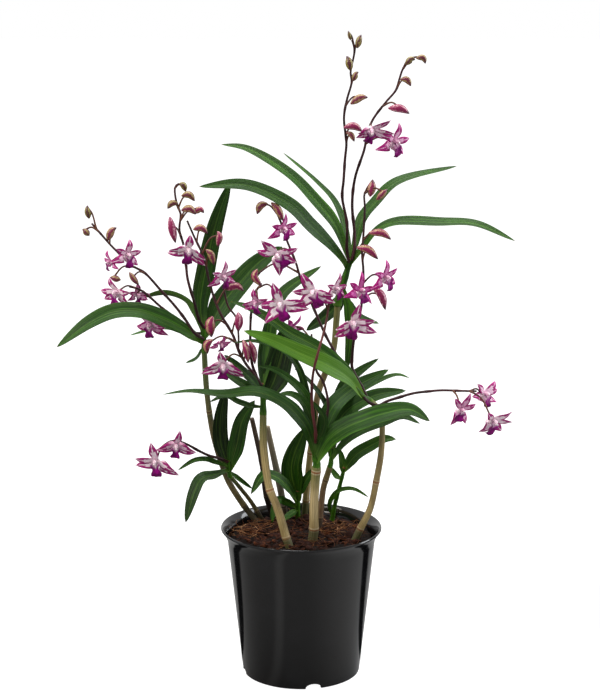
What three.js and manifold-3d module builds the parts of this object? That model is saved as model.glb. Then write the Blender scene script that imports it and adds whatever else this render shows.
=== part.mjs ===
// A pink rock orchid in a black nursery pot. Millimetres, +Z up, the photographer's side is -Y.
// Every path below is in the pot's own frame: its axis is x = y = 0 and its foot stands on z = 0.
import * as THREE from "three";
import { mergeVertices } from "three/addons/utils/BufferGeometryUtils.js";
import Module from "manifold-3d";

const wasm = await Module();
wasm.setup();

// Driving dimensions
const potHeight = 122;
const rimRadius = 65;
const bodyTopRadius = 59.6; // outside of the wall just under the flared lip
const footRadius = 47.6;
const footWidth = 3.6;
const floorHeight = 7.5;
const wallThickness = 1.5;
const lipHeight = 12; // how far the flare reaches down the wall
const potSegments = 32;
const drainHole = { count: 6, radius: 4, ringRadius: 29 };
const footNotch = { count: 4, halfWidth: 6.5, height: 4.4, firstAngle: 12 };

const gap = 0.35; // clearance between neighbouring pieces
const mixLevel = 115.5; // mean height of the potting mix
const plantingDepth = 16; // how far the stems reach down into the mix
const leafThickness = 0.9;
const tepalThickness = 1.3;
const leafFold = 0.22; // how far a leaf's edges stand up, as a share of its half width
const pedicelRadius = 0.65;
const sideStalkDrop = 4; // how far below its bud a side stalk leaves the stalk
const lipWidth = 8.8;
const stalkStep = 14; // a stalk bends once in about this length
const leafStep = 24; // and a leaf in this one
const caneSides = 7;
const caneSteps = 8;
const holeClearance = 0.5; // round a cane in the mix

const colours = {
  pot: 0x1b1b1d,
  mix: 0x3a1f14,
  tan: 0xb09a6c,
  brown: 0x6a5240,
  grey: 0x8b8272,
  dark: 0x3c2a22,
  olive: 0x7c7a44,
  leaf: 0x2f5d1e,
  darkLeaf: 0x25481a,
  brightLeaf: 0x5f9a30,
  stalk: 0x3a2024,
  redStalk: 0x6b3a3a,
  bloom: 0xd873b4,
};

// Canes, from where they enter the mix to their tops; radius at the bottom and at the top
const canes = {
  left: {
    path: [[-38, 32, 117], [-45, 32, 126], [-54, 28, 141], [-60, 25, 153], [-66, 20, 172],
      [-71, 14, 194], [-74, 9, 215], [-76, 4, 238], [-77, -1, 266]],
    radius: [2.6, 2.2],
    colour: colours.olive,
  },
  thin: {
    path: [[-33, 36, 117], [-42, 30, 134], [-49, 22, 146], [-57, 10, 160]],
    radius: [1.9, 1.6],
    colour: colours.olive,
  },
  stub: {
    path: [[-24, 42, 117], [-29, 36, 137], [-32, 30, 163], [-36, 24, 186], [-40, 18, 207]],
    radius: [2.4, 1.9],
    colour: colours.dark,
  },
  tanFront: {
    path: [[-10, -40, 119], [-12, -40, 125], [-16, -38, 139], [-20, -36, 151], [-25, -33, 163],
      [-28, -30, 180], [-30, -27, 201], [-30, -25, 221]],
    radius: [3.7, 3.1],
    colour: colours.tan,
  },
  papery: {
    path: [[-14, 46, 117], [-16, 42, 133], [-19, 38, 151], [-23, 34, 172], [-28, 30, 197]],
    radius: [3.1, 2.4],
    colour: colours.grey,
  },
  thickFront: {
    path: [[9, -25, 118], [10, -26, 126], [10, -29, 147], [11, -32, 168], [12, -34, 181]],
    radius: [3.9, 3.5],
    colour: colours.tan,
  },
  brown: {
    path: [[14, 10, 117], [16, 7, 135], [18, 3, 153], [21, -1, 165], [23, -5, 173]],
    radius: [2.8, 2.3],
    colour: colours.brown,
  },
  curvedRight: {
    path: [[44, -18, 118], [48, -19, 127], [55, -21, 143], [60, -22, 168], [63, -22, 187],
      [64, -22, 206], [63, -23, 220], [59, -26, 228], [55, -27, 232]],
    radius: [3.2, 2.4],
    colour: colours.tan,
  },
  tall: {
    path: [[3, 46, 118], [6, 40, 157], [10, 33, 193], [14, 27, 227], [21, 22, 248],
      [26, 18, 265], [28, 15, 287], [29, 14, 301]],
    radius: [2.8, 2.5],
    colour: colours.tan,
  },
};

// Foliage: a green crown that carries on from its cane's top, or from the mix, and its leaves.
// face is the way the upper side of a blade looks, and twist how far it turns by the tip.
const foliage = {
  left: {
    cane: "left",
    crown: [[-77, -2, 278], [-77, -2, 287]],
    radius: [2.3, 1.5],
    colour: colours.leaf,
    leaves: [
      { path: [[-77, -2, 273], [-92, -10, 286], [-110, -18, 297], [-126, -25, 304], [-145, -32, 305],
        [-163, -38, 298], [-189, -42, 279]], width: 16, face: [0, -0.7, 0.7] },
      { path: [[-77, 0, 273], [-86, 6, 275], [-98, 12, 281], [-112, 18, 282], [-139, 26, 274]],
        width: 5.5, face: [0, -0.5, 0.85] },
      { path: [[-77, 0, 278], [-86, 14, 296], [-93, 20, 304], [-110, 30, 308], [-130, 35, 303]],
        width: 9, face: [0, 0.75, 0.65] },
      { path: [[-77, 0, 280], [-80, 6, 303], [-76, 12, 330], [-68, 16, 366], [-56, 18, 400]],
        width: 15.5, face: [0.2, -0.95, 0.2] },
      { path: [[-77, 0, 278], [-63, 12, 302], [-49, 22, 318], [-34, 30, 333], [-15, 36, 345]],
        width: 20, face: [-0.2, -0.9, 0.35] },
      { path: [[-77, 0, 271], [-84, 8, 259], [-93, 14, 254]], width: 5, face: [0, -0.6, 0.8] },
    ],
  },
  lowLeft: {
    cane: "thin",
    crown: [[-58, 8, 167], [-59, 8, 174]],
    radius: [1.8, 1.3],
    colour: colours.darkLeaf,
    leaves: [
      { path: [[-58, 8, 166], [-71, -6, 166], [-80, -14, 165], [-85, -20, 156], [-92, -27, 133]],
        width: 13, face: [-0.5, -0.7, 0.5] },
      { path: [[-58, 8, 169], [-71, 4, 175], [-77, 0, 178], [-86, -4, 178], [-99, -9, 171]], width: 3.4,
        face: [0, -0.5, 0.85] },
      { path: [[-59, 9, 168], [-65, 9, 189], [-65, 4, 211], [-60, -2, 237]], width: 13,
        face: [0.3, -0.95, 0] },
      { path: [[-58, 9, 166], [-52, 6, 188], [-47, 2, 210], [-37, -1, 227]], width: 14,
        face: [-0.3, -0.95, 0] },
      { path: [[-58, 9, 165], [-48, 18, 154], [-40, 24, 146]], width: 3, face: [0, -0.5, 0.85] },
    ],
  },
  centre: {
    cane: "tanFront",
    crown: [[-30, -24, 233], [-31, -24, 246]],
    radius: [2.9, 1.7],
    colour: colours.darkLeaf,
    leaves: [
      { path: [[-31, -24, 241], [-33, -18, 268], [-28, -12, 295]], width: 6.5, face: [0.8, -0.6, 0] },
      { path: [[-31, -24, 234], [-23, -18, 243], [-17, -12, 261], [-11, -8, 290]], width: 22,
        face: [-0.15, -0.97, 0.1] },
      { path: [[-31, -23, 241], [-26, -6, 269], [-22, 1, 296], [-14, 4, 313], [16, 8, 334]], width: 12,
        face: [-0.3, -0.8, 0.5] },
      { path: [[-30, -25, 227], [-40, -28, 229], [-50, -30, 233], [-59, -32, 238], [-72, -32, 233]],
        width: 6, face: [0, -0.6, 0.8] },
      { path: [[-31, -25, 240], [-38, -32, 250], [-47, -36, 260], [-60, -36, 272]], width: 9,
        face: [0.3, -0.7, 0.6] },
      { path: [[-31, -24, 238], [-39, -22, 241], [-48, -20, 246], [-61, -16, 253]], width: 8,
        face: [0.2, -0.7, 0.6] },
    ],
  },
  front: {
    cane: "thickFront",
    crown: [[11, -35, 189], [11, -35, 201]],
    radius: [3.2, 1.9],
    colour: colours.leaf,
    leaves: [
      { path: [[11, -36, 190], [7, -42, 207], [2, -46, 219], [-13, -50, 236], [-34, -53, 246],
        [-59, -48, 243], [-87, -38, 243], [-109, -32, 239]], width: 14, face: [0, -0.7, 0.7],
        twist: 40 },
      { path: [[11, -35, 198], [6, -33, 231], [-1, -33, 244], [-20, -34, 259], [-34, -35, 263]],
        width: 8, face: [0, -0.7, 0.7] },
      { path: [[11, -36, 198], [3, -40, 233], [-8, -42, 242], [-20, -42, 241]], width: 8,
        face: [0, -0.7, 0.7] },
      { path: [[11, -37, 196], [18, -44, 222], [8, -46, 238]], width: 6, face: [0, -0.9, 0.4] },
      { path: [[12, -36, 186], [22, -44, 206], [35, -49, 217], [47, -52, 223], [61, -52, 228],
        [84, -48, 231], [100, -45, 221]], width: 18, face: [0, -0.7, 0.7] },
      { path: [[11, -34, 193], [15, -31, 203], [23, -23, 224], [38, -8, 236], [70, 4, 251]], width: 14,
        face: [0, -0.8, 0.6] },
      { path: [[11, -34, 195], [6, -28, 230], [-3, -28, 261], [-14, -30, 274], [-35, -33, 282],
        [-53, -34, 281]], width: 6, face: [0, -0.7, 0.7] },
    ],
  },
  brown: {
    cane: "brown",
    crown: [[24, -6, 180], [25, -6, 189]],
    radius: [2.2, 1.6],
    colour: colours.leaf,
    leaves: [
      { path: [[24, -6, 185], [23, -9, 206], [20, -12, 225], [3, -21, 251], [-6, -23, 258]], width: 5,
        face: [0, -0.7, 0.7] },
      { path: [[24, -7, 178], [33, -16, 194], [47, -27, 208], [65, -36, 218], [79, -38, 223],
        [93, -38, 217]], width: 11, face: [0, -0.6, 0.8] },
      { path: [[24, -6, 182], [25, -8, 197], [35, -13, 220], [58, -15, 234], [83, -14, 238]], width: 14,
        face: [0, -0.75, 0.65] },
      { path: [[24, -5, 184], [28, 6, 209], [41, 14, 226], [62, 19, 238], [78, 20, 243],
        [88, 20, 240]], width: 7, face: [0, -0.6, 0.8] },
      { path: [[25, -5, 187], [28, 12, 215], [35, 20, 235], [46, 24, 244], [63, 27, 255]], width: 10,
        face: [-0.2, -0.85, 0.4] },
    ],
  },
  middleShoot: {
    crown: [[-3, 40, 117], [-3, 38, 128], [-3, 36, 141]],
    radius: [2.4, 2],
    colour: colours.brightLeaf,
    leaves: [
      { path: [[-3, 37, 132], [-8, 30, 164], [3, 26, 197]], width: 18, face: [0.1, -1, 0.1] },
      { path: [[-3, 37, 135], [3, 33, 149], [11, 30, 162]], width: 8, face: [-0.3, -0.9, 0.2] },
      { path: [[-3, 37, 132], [-10, 28, 145], [-20, 19, 157], [-30, 13, 161], [-41, 8, 146]], width: 10,
        face: [0, -0.7, 0.7] },
      { path: [[-3, 38, 126], [-12, 30, 133], [-18, 23, 137], [-22, 18, 131], [-24, 15, 119]], width: 7,
        face: [-0.3, -0.9, 0.2] },
      { path: [[-3, 38, 124], [-10, 31, 121], [-15, 25, 118]], width: 6, face: [0, -0.7, 0.7] },
    ],
  },
  rightShoot: {
    crown: [[25, 27, 115], [27, 22, 130], [31, 16, 149], [35, 10, 168]],
    radius: [2, 1.6],
    colour: colours.brightLeaf,
    leaves: [
      { path: [[34, 11, 164], [44, 4, 180], [57, -2, 190], [67, -5, 196], [76, -6, 196]], width: 12,
        face: [-0.1, -0.75, 0.65] },
      { path: [[34, 11, 162], [33, 12, 174], [31, 13, 183]], width: 6, face: [0.2, -0.95, 0.1] },
      { path: [[32, 13, 157], [28, 16, 160], [24, 18, 166]], width: 5, face: [0.2, -0.9, 0.3] },
      { path: [[26, 25, 121], [23, 20, 133], [29, 12, 147], [37, 8, 151], [44, 5, 151], [55, 2, 145]],
        width: 3, face: [0, -0.3, 0.95] },
    ],
  },
  right: {
    cane: "curvedRight",
    crown: [[51, -29, 235], [47, -32, 239], [42, -36, 246]],
    radius: [2.3, 1.6],
    colour: colours.brightLeaf,
    leaves: [
      { path: [[47, -32, 238], [38, -41, 253], [22, -48, 265], [-1, -54, 277], [-20, -58, 287],
        [-44, -60, 296]], width: 16, face: [0.2, -0.75, 0.6] },
      { path: [[46, -32, 240], [38, -35, 256], [28, -36, 266], [10, -36, 279], [-9, -35, 289],
        [-22, -34, 298], [-41, -29, 308], [-55, -26, 312]], width: 11, face: [0.2, -0.75, 0.6] },
    ],
  },
  top: {
    cane: "tall",
    crown: [[32, 12, 314], [36, 10, 329], [39, 10, 339]],
    radius: [3.6, 2.2],
    colour: colours.leaf,
    leaves: [
      { path: [[36, 10, 330], [33, 6, 338], [23, -2, 352], [7, -10, 369], [-9, -18, 386],
        [-42, -29, 403], [-78, -36, 403]], width: 14, face: [0.3, -0.7, 0.6] },
      { path: [[38, 11, 336], [27, 18, 365], [11, 24, 384], [-9, 30, 404], [-44, 36, 424],
        [-64, 38, 427]], width: 12, face: [0.35, -0.65, 0.65] },
      { path: [[38, 11, 337], [37, 19, 353], [27, 32, 381], [13, 40, 396], [-15, 52, 419]], width: 8,
        face: [0.5, -0.4, 0.7] },
      { path: [[39, 11, 337], [43, 15, 350], [48, 21, 369], [59, 27, 382], [75, 33, 397],
        [125, 44, 409]], width: 11, face: [-0.2, -0.5, 0.8] },
      { path: [[38, 10, 333], [50, 5, 351], [60, -1, 364], [73, -7, 371], [107, -20, 373],
        [134, -28, 373], [164, -36, 361]], width: 12, face: [0, -0.5, 0.85] },
      { path: [[33, 14, 313], [29, 22, 300], [19, 27, 289], [4, 31, 277]], width: 12,
        face: [0, -0.8, 0.6] },
      { path: [[32, 12, 312], [41, 18, 297], [47, 23, 290], [63, 30, 283]], width: 7,
        face: [0, -0.8, 0.6] },
      { path: [[33, 11, 316], [38, 7, 299], [39, 5, 276], [36, 3, 250]], width: 9, face: [0, -1, 0.1] },
    ],
  },
};

// Flower stalks; the first point is on the crown's axis, and a bud is [chin, tip, width]
const stalks = {
  lowLeft: {
    foliage: "lowLeft",
    path: [[-59, 8, 173], [-65, 1, 178], [-74, -4, 182], [-83, -6, 187], [-91, -7, 192],
      [-100, -10, 196], [-106, -12, 195], [-113, -13, 190]],
    buds: [],
  },
  top: {
    foliage: "top",
    path: [[37.7, 8.4, 336.8], [36, 7, 347], [36, 5, 368], [32, 2, 390], [33, 1, 403], [34, 0, 420],
      [35, -1, 432], [33, -2, 452], [35, -1, 465], [39, 1, 480], [38, 2, 486], [41, 3, 504],
      [39, 3, 511]],
    buds: [[[38, 3, 511], [36, 3, 518], 2.8], [[43, 3, 505], [46, 3, 515], 4.9], [[38, 2, 488],
      [35, 2, 499], 5.7], [[40, 1, 480], [44, 1, 487], 4.5], [[38, -6, 463], [51, -6, 468], 5.7],
      [[33, -7, 445], [47, -7, 442], 5.7], [[35, -5, 441], [41, -5, 434], 4.1]],
  },
  topRight: {
    foliage: "top",
    path: [[40, 8.2, 339], [42, 9, 348], [42, 10, 360], [40, 8, 383], [42, 6, 404], [49, 2, 427],
      [51, 0, 438], [55, -2, 450], [65, -4, 464], [73, -6, 474], [75, -6, 481], [78, -6, 490],
      [81, -6, 494]],
    buds: [[[80, -8, 493], [87, -8, 497], 4.9], [[88, -8, 498], [95, -8, 494], 4.5],
      [[76, -9, 482], [84, -9, 477], 4.9], [[67, -9, 460], [83, -9, 456], 6.1]],
  },
  right: {
    foliage: "right",
    path: [[52, -27.5, 235], [46, -22, 246], [40, -21, 258], [40, -24, 269], [41, -28, 282],
      [46, -29, 306], [48, -27, 335], [47, -25, 350], [48, -23, 364], [49, -21, 384], [49, -19, 396],
      [53, -18, 398]],
    buds: [[[53, -18, 393], [55, -18, 406], 6.5], [[58, -22, 391], [66, -22, 399], 4.9],
      [[52, -27, 366], [69, -27, 361], 5.7], [[43, -29, 355], [59, -29, 346], 6.1],
      [[55, -33, 325], [65, -33, 307], 6.1]],
  },
  centre: {
    foliage: "right",
    path: [[48, -29.5, 238], [42, -26, 249], [32, -24, 262], [22, -24, 279], [18, -24, 287],
      [10, -27, 306], [-1, -27, 332], [-4, -26, 342], [-12, -24, 362], [-16, -22, 374],
      [-21, -21, 385]],
    buds: [[[-26, -22, 388], [-34, -22, 380], 5.7], [[-23, -24, 389], [-14, -24, 375], 5.7],
      [[-34, -30, 338], [-31, -30, 325], 5.3]],
  },
  hidden: {
    foliage: "front",
    path: [[12, -34, 203], [19, -34, 218], [21, -33, 232], [17, -28, 249], [12, -24, 256],
      [9, -20, 272], [8, -21, 285]],
    buds: [],
  },
  red: {
    foliage: "front",
    path: [[11, -40.2, 202.6], [11, -49, 214], [9, -55, 229], [8, -59, 245], [9, -62, 263],
      [13, -61, 280], [17, -54, 293], [20, -46, 305], [21, -42, 314]],
    buds: [],
  },
  midLeft: {
    foliage: "centre",
    path: [[-31, -25.4, 244.6], [-37, -27, 254], [-44, -28, 264], [-49, -28, 274], [-53, -27, 285],
      [-63, -23, 302], [-68, -20, 314], [-72, -16, 327], [-76, -12, 344], [-84, -8, 361],
      [-89, -5, 372]],
    branch: [[-49, -28, 274], [-49, -24, 285], [-51, -19, 298], [-57, -16, 306], [-61, -13, 321]],
    buds: [[[-84, -10, 366], [-73, -10, 363], 5.3], [[-65, -14, 365], [-65, -14, 353], 4.9],
      [[-74, -15, 351], [-68, -15, 339], 5.3], [[-59, -18, 320], [-45, -18, 319], 5.3],
      [[-49, -30, 304], [-49, -30, 289], 6.5], [[-69, -26, 300], [-70, -26, 284], 7.7],
      [[-69, -32, 283], [-73, -32, 272], 5.7], [[-45, -42, 285], [-41, -42, 267], 5.3],
      [[-40, -38, 283], [-36, -38, 265], 4.9]],
  },
  upperLeft: {
    foliage: "left",
    path: [[-76.5, -2.5, 285.9], [-80, -6, 292], [-84, -9, 308], [-89, -10, 327], [-90, -10, 337],
      [-92, -9, 354], [-95, -8, 365], [-94, -7, 378], [-96, -6, 383], [-98, -5, 391], [-98, -4, 399],
      [-95, -4, 401]],
    buds: [[[-95, -4, 401], [-90, -4, 395], 4.9], [[-93, -7, 392], [-83, -7, 388], 5.3],
      [[-96, -7, 386], [-104, -7, 382], 4.9], [[-93, -10, 381], [-82, -10, 378], 5.7],
      [[-85, -2, 378], [-76, -2, 378], 4.9], [[-102, -12, 376], [-98, -12, 356], 6.1]],
  },
  farLeft: {
    foliage: "left",
    path: [[-77.3, -2.6, 277.3], [-84, -15, 285], [-91, -16, 296], [-99, -17, 307], [-109, -19, 319],
      [-122, -21, 334], [-132, -22, 340], [-139, -22, 347], [-148, -21, 356], [-155, -20, 364],
      [-162, -19, 372]],
    buds: [[[-164, -19, 376], [-165, -19, 386], 4.9], [[-164, -21, 363], [-169, -21, 368], 4.9],
      [[-150, -20, 359], [-143, -20, 369], 5.7], [[-140, -26, 329], [-148, -26, 331], 4.9],
      [[-133, -26, 335], [-126, -26, 325], 4.5]],
  },
  farLeftLow: {
    foliage: "left",
    path: [[-78, 1, 281], [-86, 4, 281], [-95, 2, 287], [-104, 0, 297], [-112, -2, 304],
      [-120, -4, 312], [-128, -5, 318], [-135, -6, 320]],
    buds: [],
  },
  inner: {
    foliage: "centre",
    path: [[-32, -22, 245], [-36, -18, 252], [-39, -17, 262], [-40, -17, 281], [-39, -14, 303],
      [-36, -15, 317], [-31, -20, 325]],
    buds: [],
  },
  farRight: {
    foliage: "right",
    path: [[49, -32, 237], [54, -36, 233], [60, -35, 231], [67, -33, 234], [76, -33, 237],
      [88, -35, 241], [100, -37, 243], [109, -38, 244], [126, -40, 244], [136, -41, 244]],
    buds: [],
  },
};

// Blooms: the heart's place, the stalk each hangs on, and how it is turned, in degrees.
// yaw turns it to the right, nod tips it down and roll leans its upper sepal to the right;
// drop is how far below the nearest point its side stalk leaves the stalk.
const blooms = [
  { at: [-115, -24, 183], stalk: "lowLeft", yaw: -8, nod: 15, roll: -10, size: 1.1 },
  { at: [-99, -22, 196], stalk: "lowLeft", yaw: 5, nod: 30, roll: 10, size: 1.0 },
  { at: [54, -20, 445], stalk: "topRight", yaw: 0, nod: 40, roll: 25, size: 1.0 },
  { at: [72, 2, 433], stalk: "topRight", yaw: 68, nod: 10, roll: 10, size: 1.05 },
  { at: [143, -31, 239], stalk: "farRight", yaw: 45, nod: -5, roll: 30, size: 0.95 },
  { at: [148, -54, 224], stalk: "farRight", yaw: 25, nod: 25, roll: 35, size: 1.0 },
  { at: [124, -47, 231], stalk: "farRight", yaw: 20, nod: 10, roll: 40, size: 0.9 },
  { at: [-134, -34, 350], stalk: "farLeft", yaw: 50, nod: 5, roll: 10, size: 0.9 },
  { at: [-147, -29, 344], stalk: "farLeft", yaw: -55, nod: 15, roll: 0, size: 0.65 },
  { at: [-144, -13, 317.5], stalk: "farLeftLow", yaw: -35, nod: 15, roll: -10, size: 1.0 },
  { at: [-130, 6, 312], stalk: "farLeftLow", yaw: 30, nod: 25, roll: 10, size: 0.75 },
  { at: [-120, 4, 288], stalk: "farLeftLow", yaw: -15, nod: 30, roll: 0, size: 1.0 },
  { at: [-87, -24, 353], stalk: "upperLeft", yaw: 5, nod: 25, roll: 12, size: 1.05 },
  { at: [-61, -26, 332], stalk: "midLeft", yaw: 55, nod: 15, roll: 0, size: 0.85 },
  { at: [-62, -40, 282], stalk: "midLeft", yaw: 30, nod: 45, roll: 0, size: 0.65 },
  { at: [-60, -48, 267], stalk: "midLeft", yaw: 0, nod: 35, roll: 4, size: 1.1 },
  { at: [64, -42, 334], stalk: "right", yaw: 70, nod: 5, roll: 0, size: 0.95 },
  { at: [45, -45, 324], stalk: "right", yaw: 55, nod: -10, roll: 15, size: 0.95 },
  { at: [26, -41, 325], stalk: "red", yaw: 65, nod: 5, roll: 0, size: 0.8 },
  { at: [9, -52, 325], stalk: "red", yaw: -5, nod: 15, roll: -32, size: 1.15 },
  { at: [-16, -54, 316], stalk: "inner", yaw: 0, nod: 15, roll: -22, size: 1.2 },
  { at: [-34, -43, 315], stalk: "inner", yaw: -25, nod: 30, roll: -10, size: 0.85, drop: 11 },
  { at: [-19, -42, 352], stalk: "centre", yaw: 20, nod: 20, roll: -45, size: 1.1 },
  { at: [-14, -36, 371], stalk: "centre", yaw: 50, nod: 10, roll: 0, size: 0.85 },
  { at: [40, -48, 300], stalk: "right", yaw: 5, nod: 15, roll: 12, size: 1.15 },
  { at: [-7, -18, 290], stalk: "hidden", yaw: 40, nod: 20, roll: 30, size: 0.8 },
];

// Sepals and petals of a bloom of size 1: the way each points from the heart, in degrees from its
// right, the length, half the width, and how far the tip stands forward
const tepals = [
  { angle: 27, length: 15.2, half: 2.7, forward: 0.8 },
  { angle: 90, length: 15.5, half: 3.7, forward: 0.2 },
  { angle: 153, length: 15.2, half: 2.7, forward: 0.8 },
  { angle: 209, length: 18.3, half: 4.5, forward: -0.6 },
  { angle: 331, length: 18.3, half: 4.5, forward: -0.6 },
];

const vector = ([x, y, z]) => new THREE.Vector3(x, y, z);
const curveThrough = (points) => new THREE.CatmullRomCurve3(points.map(vector), false, "centripetal");
const between = ([first, last], share) => first + (last - first) * share;

// Random numbers between 0 and 1 that are the same on every run
function seededRandom(seed) {
  let state = seed;
  return () => {
    state = (state * 16807) % 2147483647;
    return state / 2147483647;
  };
}

function solidOf(geometry) {
  geometry.deleteAttribute("normal");
  geometry.deleteAttribute("uv");
  const merged = mergeVertices(geometry, 1e-4);
  return new wasm.Manifold(
    new wasm.Mesh({
      numProp: 3,
      vertProperties: merged.attributes.position.array,
      triVerts: new Uint32Array(merged.index.array),
    }),
  );
}

function geometryOf(solid) {
  const mesh = solid.getMesh();
  const geometry = new THREE.BufferGeometry();
  geometry.setAttribute("position", new THREE.BufferAttribute(mesh.vertProperties, 3));
  geometry.setIndex(new THREE.BufferAttribute(mesh.triVerts, 1));
  geometry.computeVertexNormals();
  return geometry;
}

// The solid inside triangles that are given as places in a list of points
function facedSolid(points, faces) {
  const geometry = new THREE.BufferGeometry();
  const numbers = points.flatMap((point) => point.toArray());
  geometry.setAttribute("position", new THREE.Float32BufferAttribute(numbers, 3));
  geometry.setIndex(faces);
  return solidOf(geometry);
}

const fused = (solids) => solids.reduce((whole, solid) => whole.add(solid));

// A closed solid through rings of points that run anticlockwise about the way it grows
function loft(rings) {
  const count = rings[0].length;
  const faces = [];
  for (let i = 0; i + 1 < rings.length; i++) {
    for (let j = 0; j < count; j++) {
      const a = i * count + j;
      const b = i * count + ((j + 1) % count);
      // the second half of a ring is a blade's underside, split along the same diagonals as its top
      if (j < count / 2) faces.push(a, b, b + count, a, b + count, a + count);
      else faces.push(a, b, a + count, b, b + count, a + count);
    }
  }
  const last = (rings.length - 1) * count;
  for (let low = 0, high = count - 1; low + 1 < high; low++, high--) {
    const corners = [[low, high - 1, high]];
    if (low + 1 < high - 1) corners.push([low, low + 1, high - 1]);
    for (const [a, b, c] of corners) faces.push(a, c, b, last + a, last + b, last + c);
  }
  return facedSolid(rings.flat(), faces);
}

// A round stem along a path; radiusAt gives its radius at a share of its length
function stem(path, radiusAt, sides, steps) {
  const curve = curveThrough(path);
  const frames = curve.computeFrenetFrames(steps, false);
  const rings = [];
  for (let i = 0; i <= steps; i++) {
    const centre = curve.getPointAt(i / steps);
    const radius = radiusAt(i / steps);
    const ring = [];
    for (let j = 0; j < sides; j++) {
      const angle = (2 * Math.PI * j) / sides;
      ring.push(
        centre
          .clone()
          .addScaledVector(frames.normals[i], radius * Math.cos(angle))
          .addScaledVector(frames.binormals[i], radius * Math.sin(angle)),
      );
    }
    rings.push(ring);
  }
  return loft(rings);
}

// A blade's half width, as a share of its widest, at a share of its length
function strapOutline(s) {
  const widening = Math.min(1, 0.25 + 2.6 * s);
  const point = Math.max(0, 1 - s ** 4) ** 0.7;
  return Math.max(0.06, widening * point);
}

const lipOutline = (s) => [0.6, 0.95, 1, 0.35][Math.round(s * 3)];

// The frame of a blade at a share of its length: centre, side and up
function bladeFrame(curve, face, twist, share) {
  const tangent = curve.getTangentAt(share);
  const up = vector(face).applyAxisAngle(tangent, THREE.MathUtils.degToRad(twist * share));
  up.addScaledVector(tangent, -up.dot(tangent)).normalize();
  return { centre: curve.getPointAt(share), side: up.clone().cross(tangent), up };
}

// A strap leaf: folded along its midrib, so that its edges stand a little higher
function leaf({ path, width, face, twist = 0 }) {
  const curve = curveThrough(path);
  const steps = THREE.MathUtils.clamp(Math.round(curve.getLength() / leafStep), 3, 7);
  const top = leafThickness / 2;
  const rings = [];
  for (let i = 0; i <= steps; i++) {
    const { centre, side, up } = bladeFrame(curve, face, twist, i / steps);
    const half = (width / 2) * strapOutline(i / steps);
    const at = (across, over) => centre.clone().addScaledVector(side, across).addScaledVector(up, over);
    const edge = half * leafFold;
    rings.push([
      at(half, edge + top),
      at(0, top),
      at(-half, edge + top),
      at(-half, edge - top),
      at(0, -top),
      at(half, edge - top),
    ]);
  }
  return loft(rings);
}

// A bloom's lip: thickest along its middle, with its sides turned up
function lip(path, width, face) {
  const curve = curveThrough(path);
  const steps = 3;
  const rings = [];
  for (let i = 0; i <= steps; i++) {
    const { centre, side, up } = bladeFrame(curve, face, 0, i / steps);
    const half = (width / 2) * lipOutline(i / steps);
    const at = (across, over) => centre.clone().addScaledVector(side, across).addScaledVector(up, over);
    rings.push([
      at(half, half * 0.25),
      at(0, tepalThickness / 2),
      at(-half, half * 0.25),
      at(0, -tepalThickness / 2),
    ]);
  }
  return loft(rings);
}

// Sepals and petals as one closed star; both faces share its outline and part along each midrib.
// Its middle stands out as the column in front and as the chin behind and below.
// place takes a point of the bloom's own frame to where it stands.
function star(place) {
  const points = [place(0, 0.8, 5.2), place(0, -5.5, -4.6)];
  const faces = [];
  tepals.forEach(({ angle, length, half, forward }, i) => {
    const previous = i ? tepals[i - 1].angle : tepals[tepals.length - 1].angle - 360;
    const polar = (degrees, radius, z) => {
      const turn = THREE.MathUtils.degToRad(degrees);
      return place(radius * Math.cos(turn), radius * Math.sin(turn), z);
    };
    const onTepal = (share, across, lift) => {
      const degrees = angle + THREE.MathUtils.radToDeg(Math.atan2(across, share * length));
      const bulge = 1.5 * Math.sin(Math.PI * share);
      return polar(degrees, Math.hypot(share * length, across), bulge + forward * share + lift);
    };
    const first = points.length;
    points.push(
      polar((previous + angle) / 2, 2.6, 0.2),
      onTepal(0.3, -half, 0.3),
      onTepal(0.68, -0.82 * half, 0.5),
      onTepal(1, 0, 0),
      onTepal(0.68, 0.82 * half, 0.5),
      onTepal(0.3, half, 0.3),
      onTepal(0.5, 0, tepalThickness / 2),
      onTepal(0.5, 0, -tepalThickness / 2),
      onTepal(0.11, 0, tepalThickness),
      onTepal(0.16, 0, -tepalThickness),
    );
    const nextNotch = i + 1 < tepals.length ? first + 10 : 2;
    for (const side of [0, 1]) {
      const [rib, foot] = [first + 6 + side, first + 8 + side];
      const loop = [0, 1, 2, 3, 4, 5].map((k) => first + k).concat(nextNotch, foot);
      const fan = loop.map((corner, k) => [rib, corner, loop[(k + 1) % loop.length]]);
      for (const [a, b, c] of [...fan, [side, first, foot], [side, foot, nextNotch]]) {
        faces.push(...(side ? [a, c, b] : [a, b, c]));
      }
    }
  });
  return facedSolid(points, faces);
}

// A stalk's middle line, as the straight stretches between its rings
function spineOf({ path }) {
  const steps = Math.round(curveThrough(path).getLength() / stalkStep);
  const curve = new THREE.CurvePath();
  const points = curveThrough(path).getSpacedPoints(steps);
  points.slice(1).forEach((point, i) => curve.add(new THREE.LineCurve3(points[i], point)));
  return curve;
}

// Where a side stalk leaves its stalk: some way below the nearest point, as a share of the length
function sideStalkShare(spine, place, drop) {
  const samples = 120;
  const distance = (i) => spine.getPointAt(i / samples).distanceTo(place);
  let best = 0;
  for (let i = 1; i <= samples; i++) if (distance(i) < distance(best)) best = i;
  return Math.max(0.04, best / samples - drop / spine.getLength());
}

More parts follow.
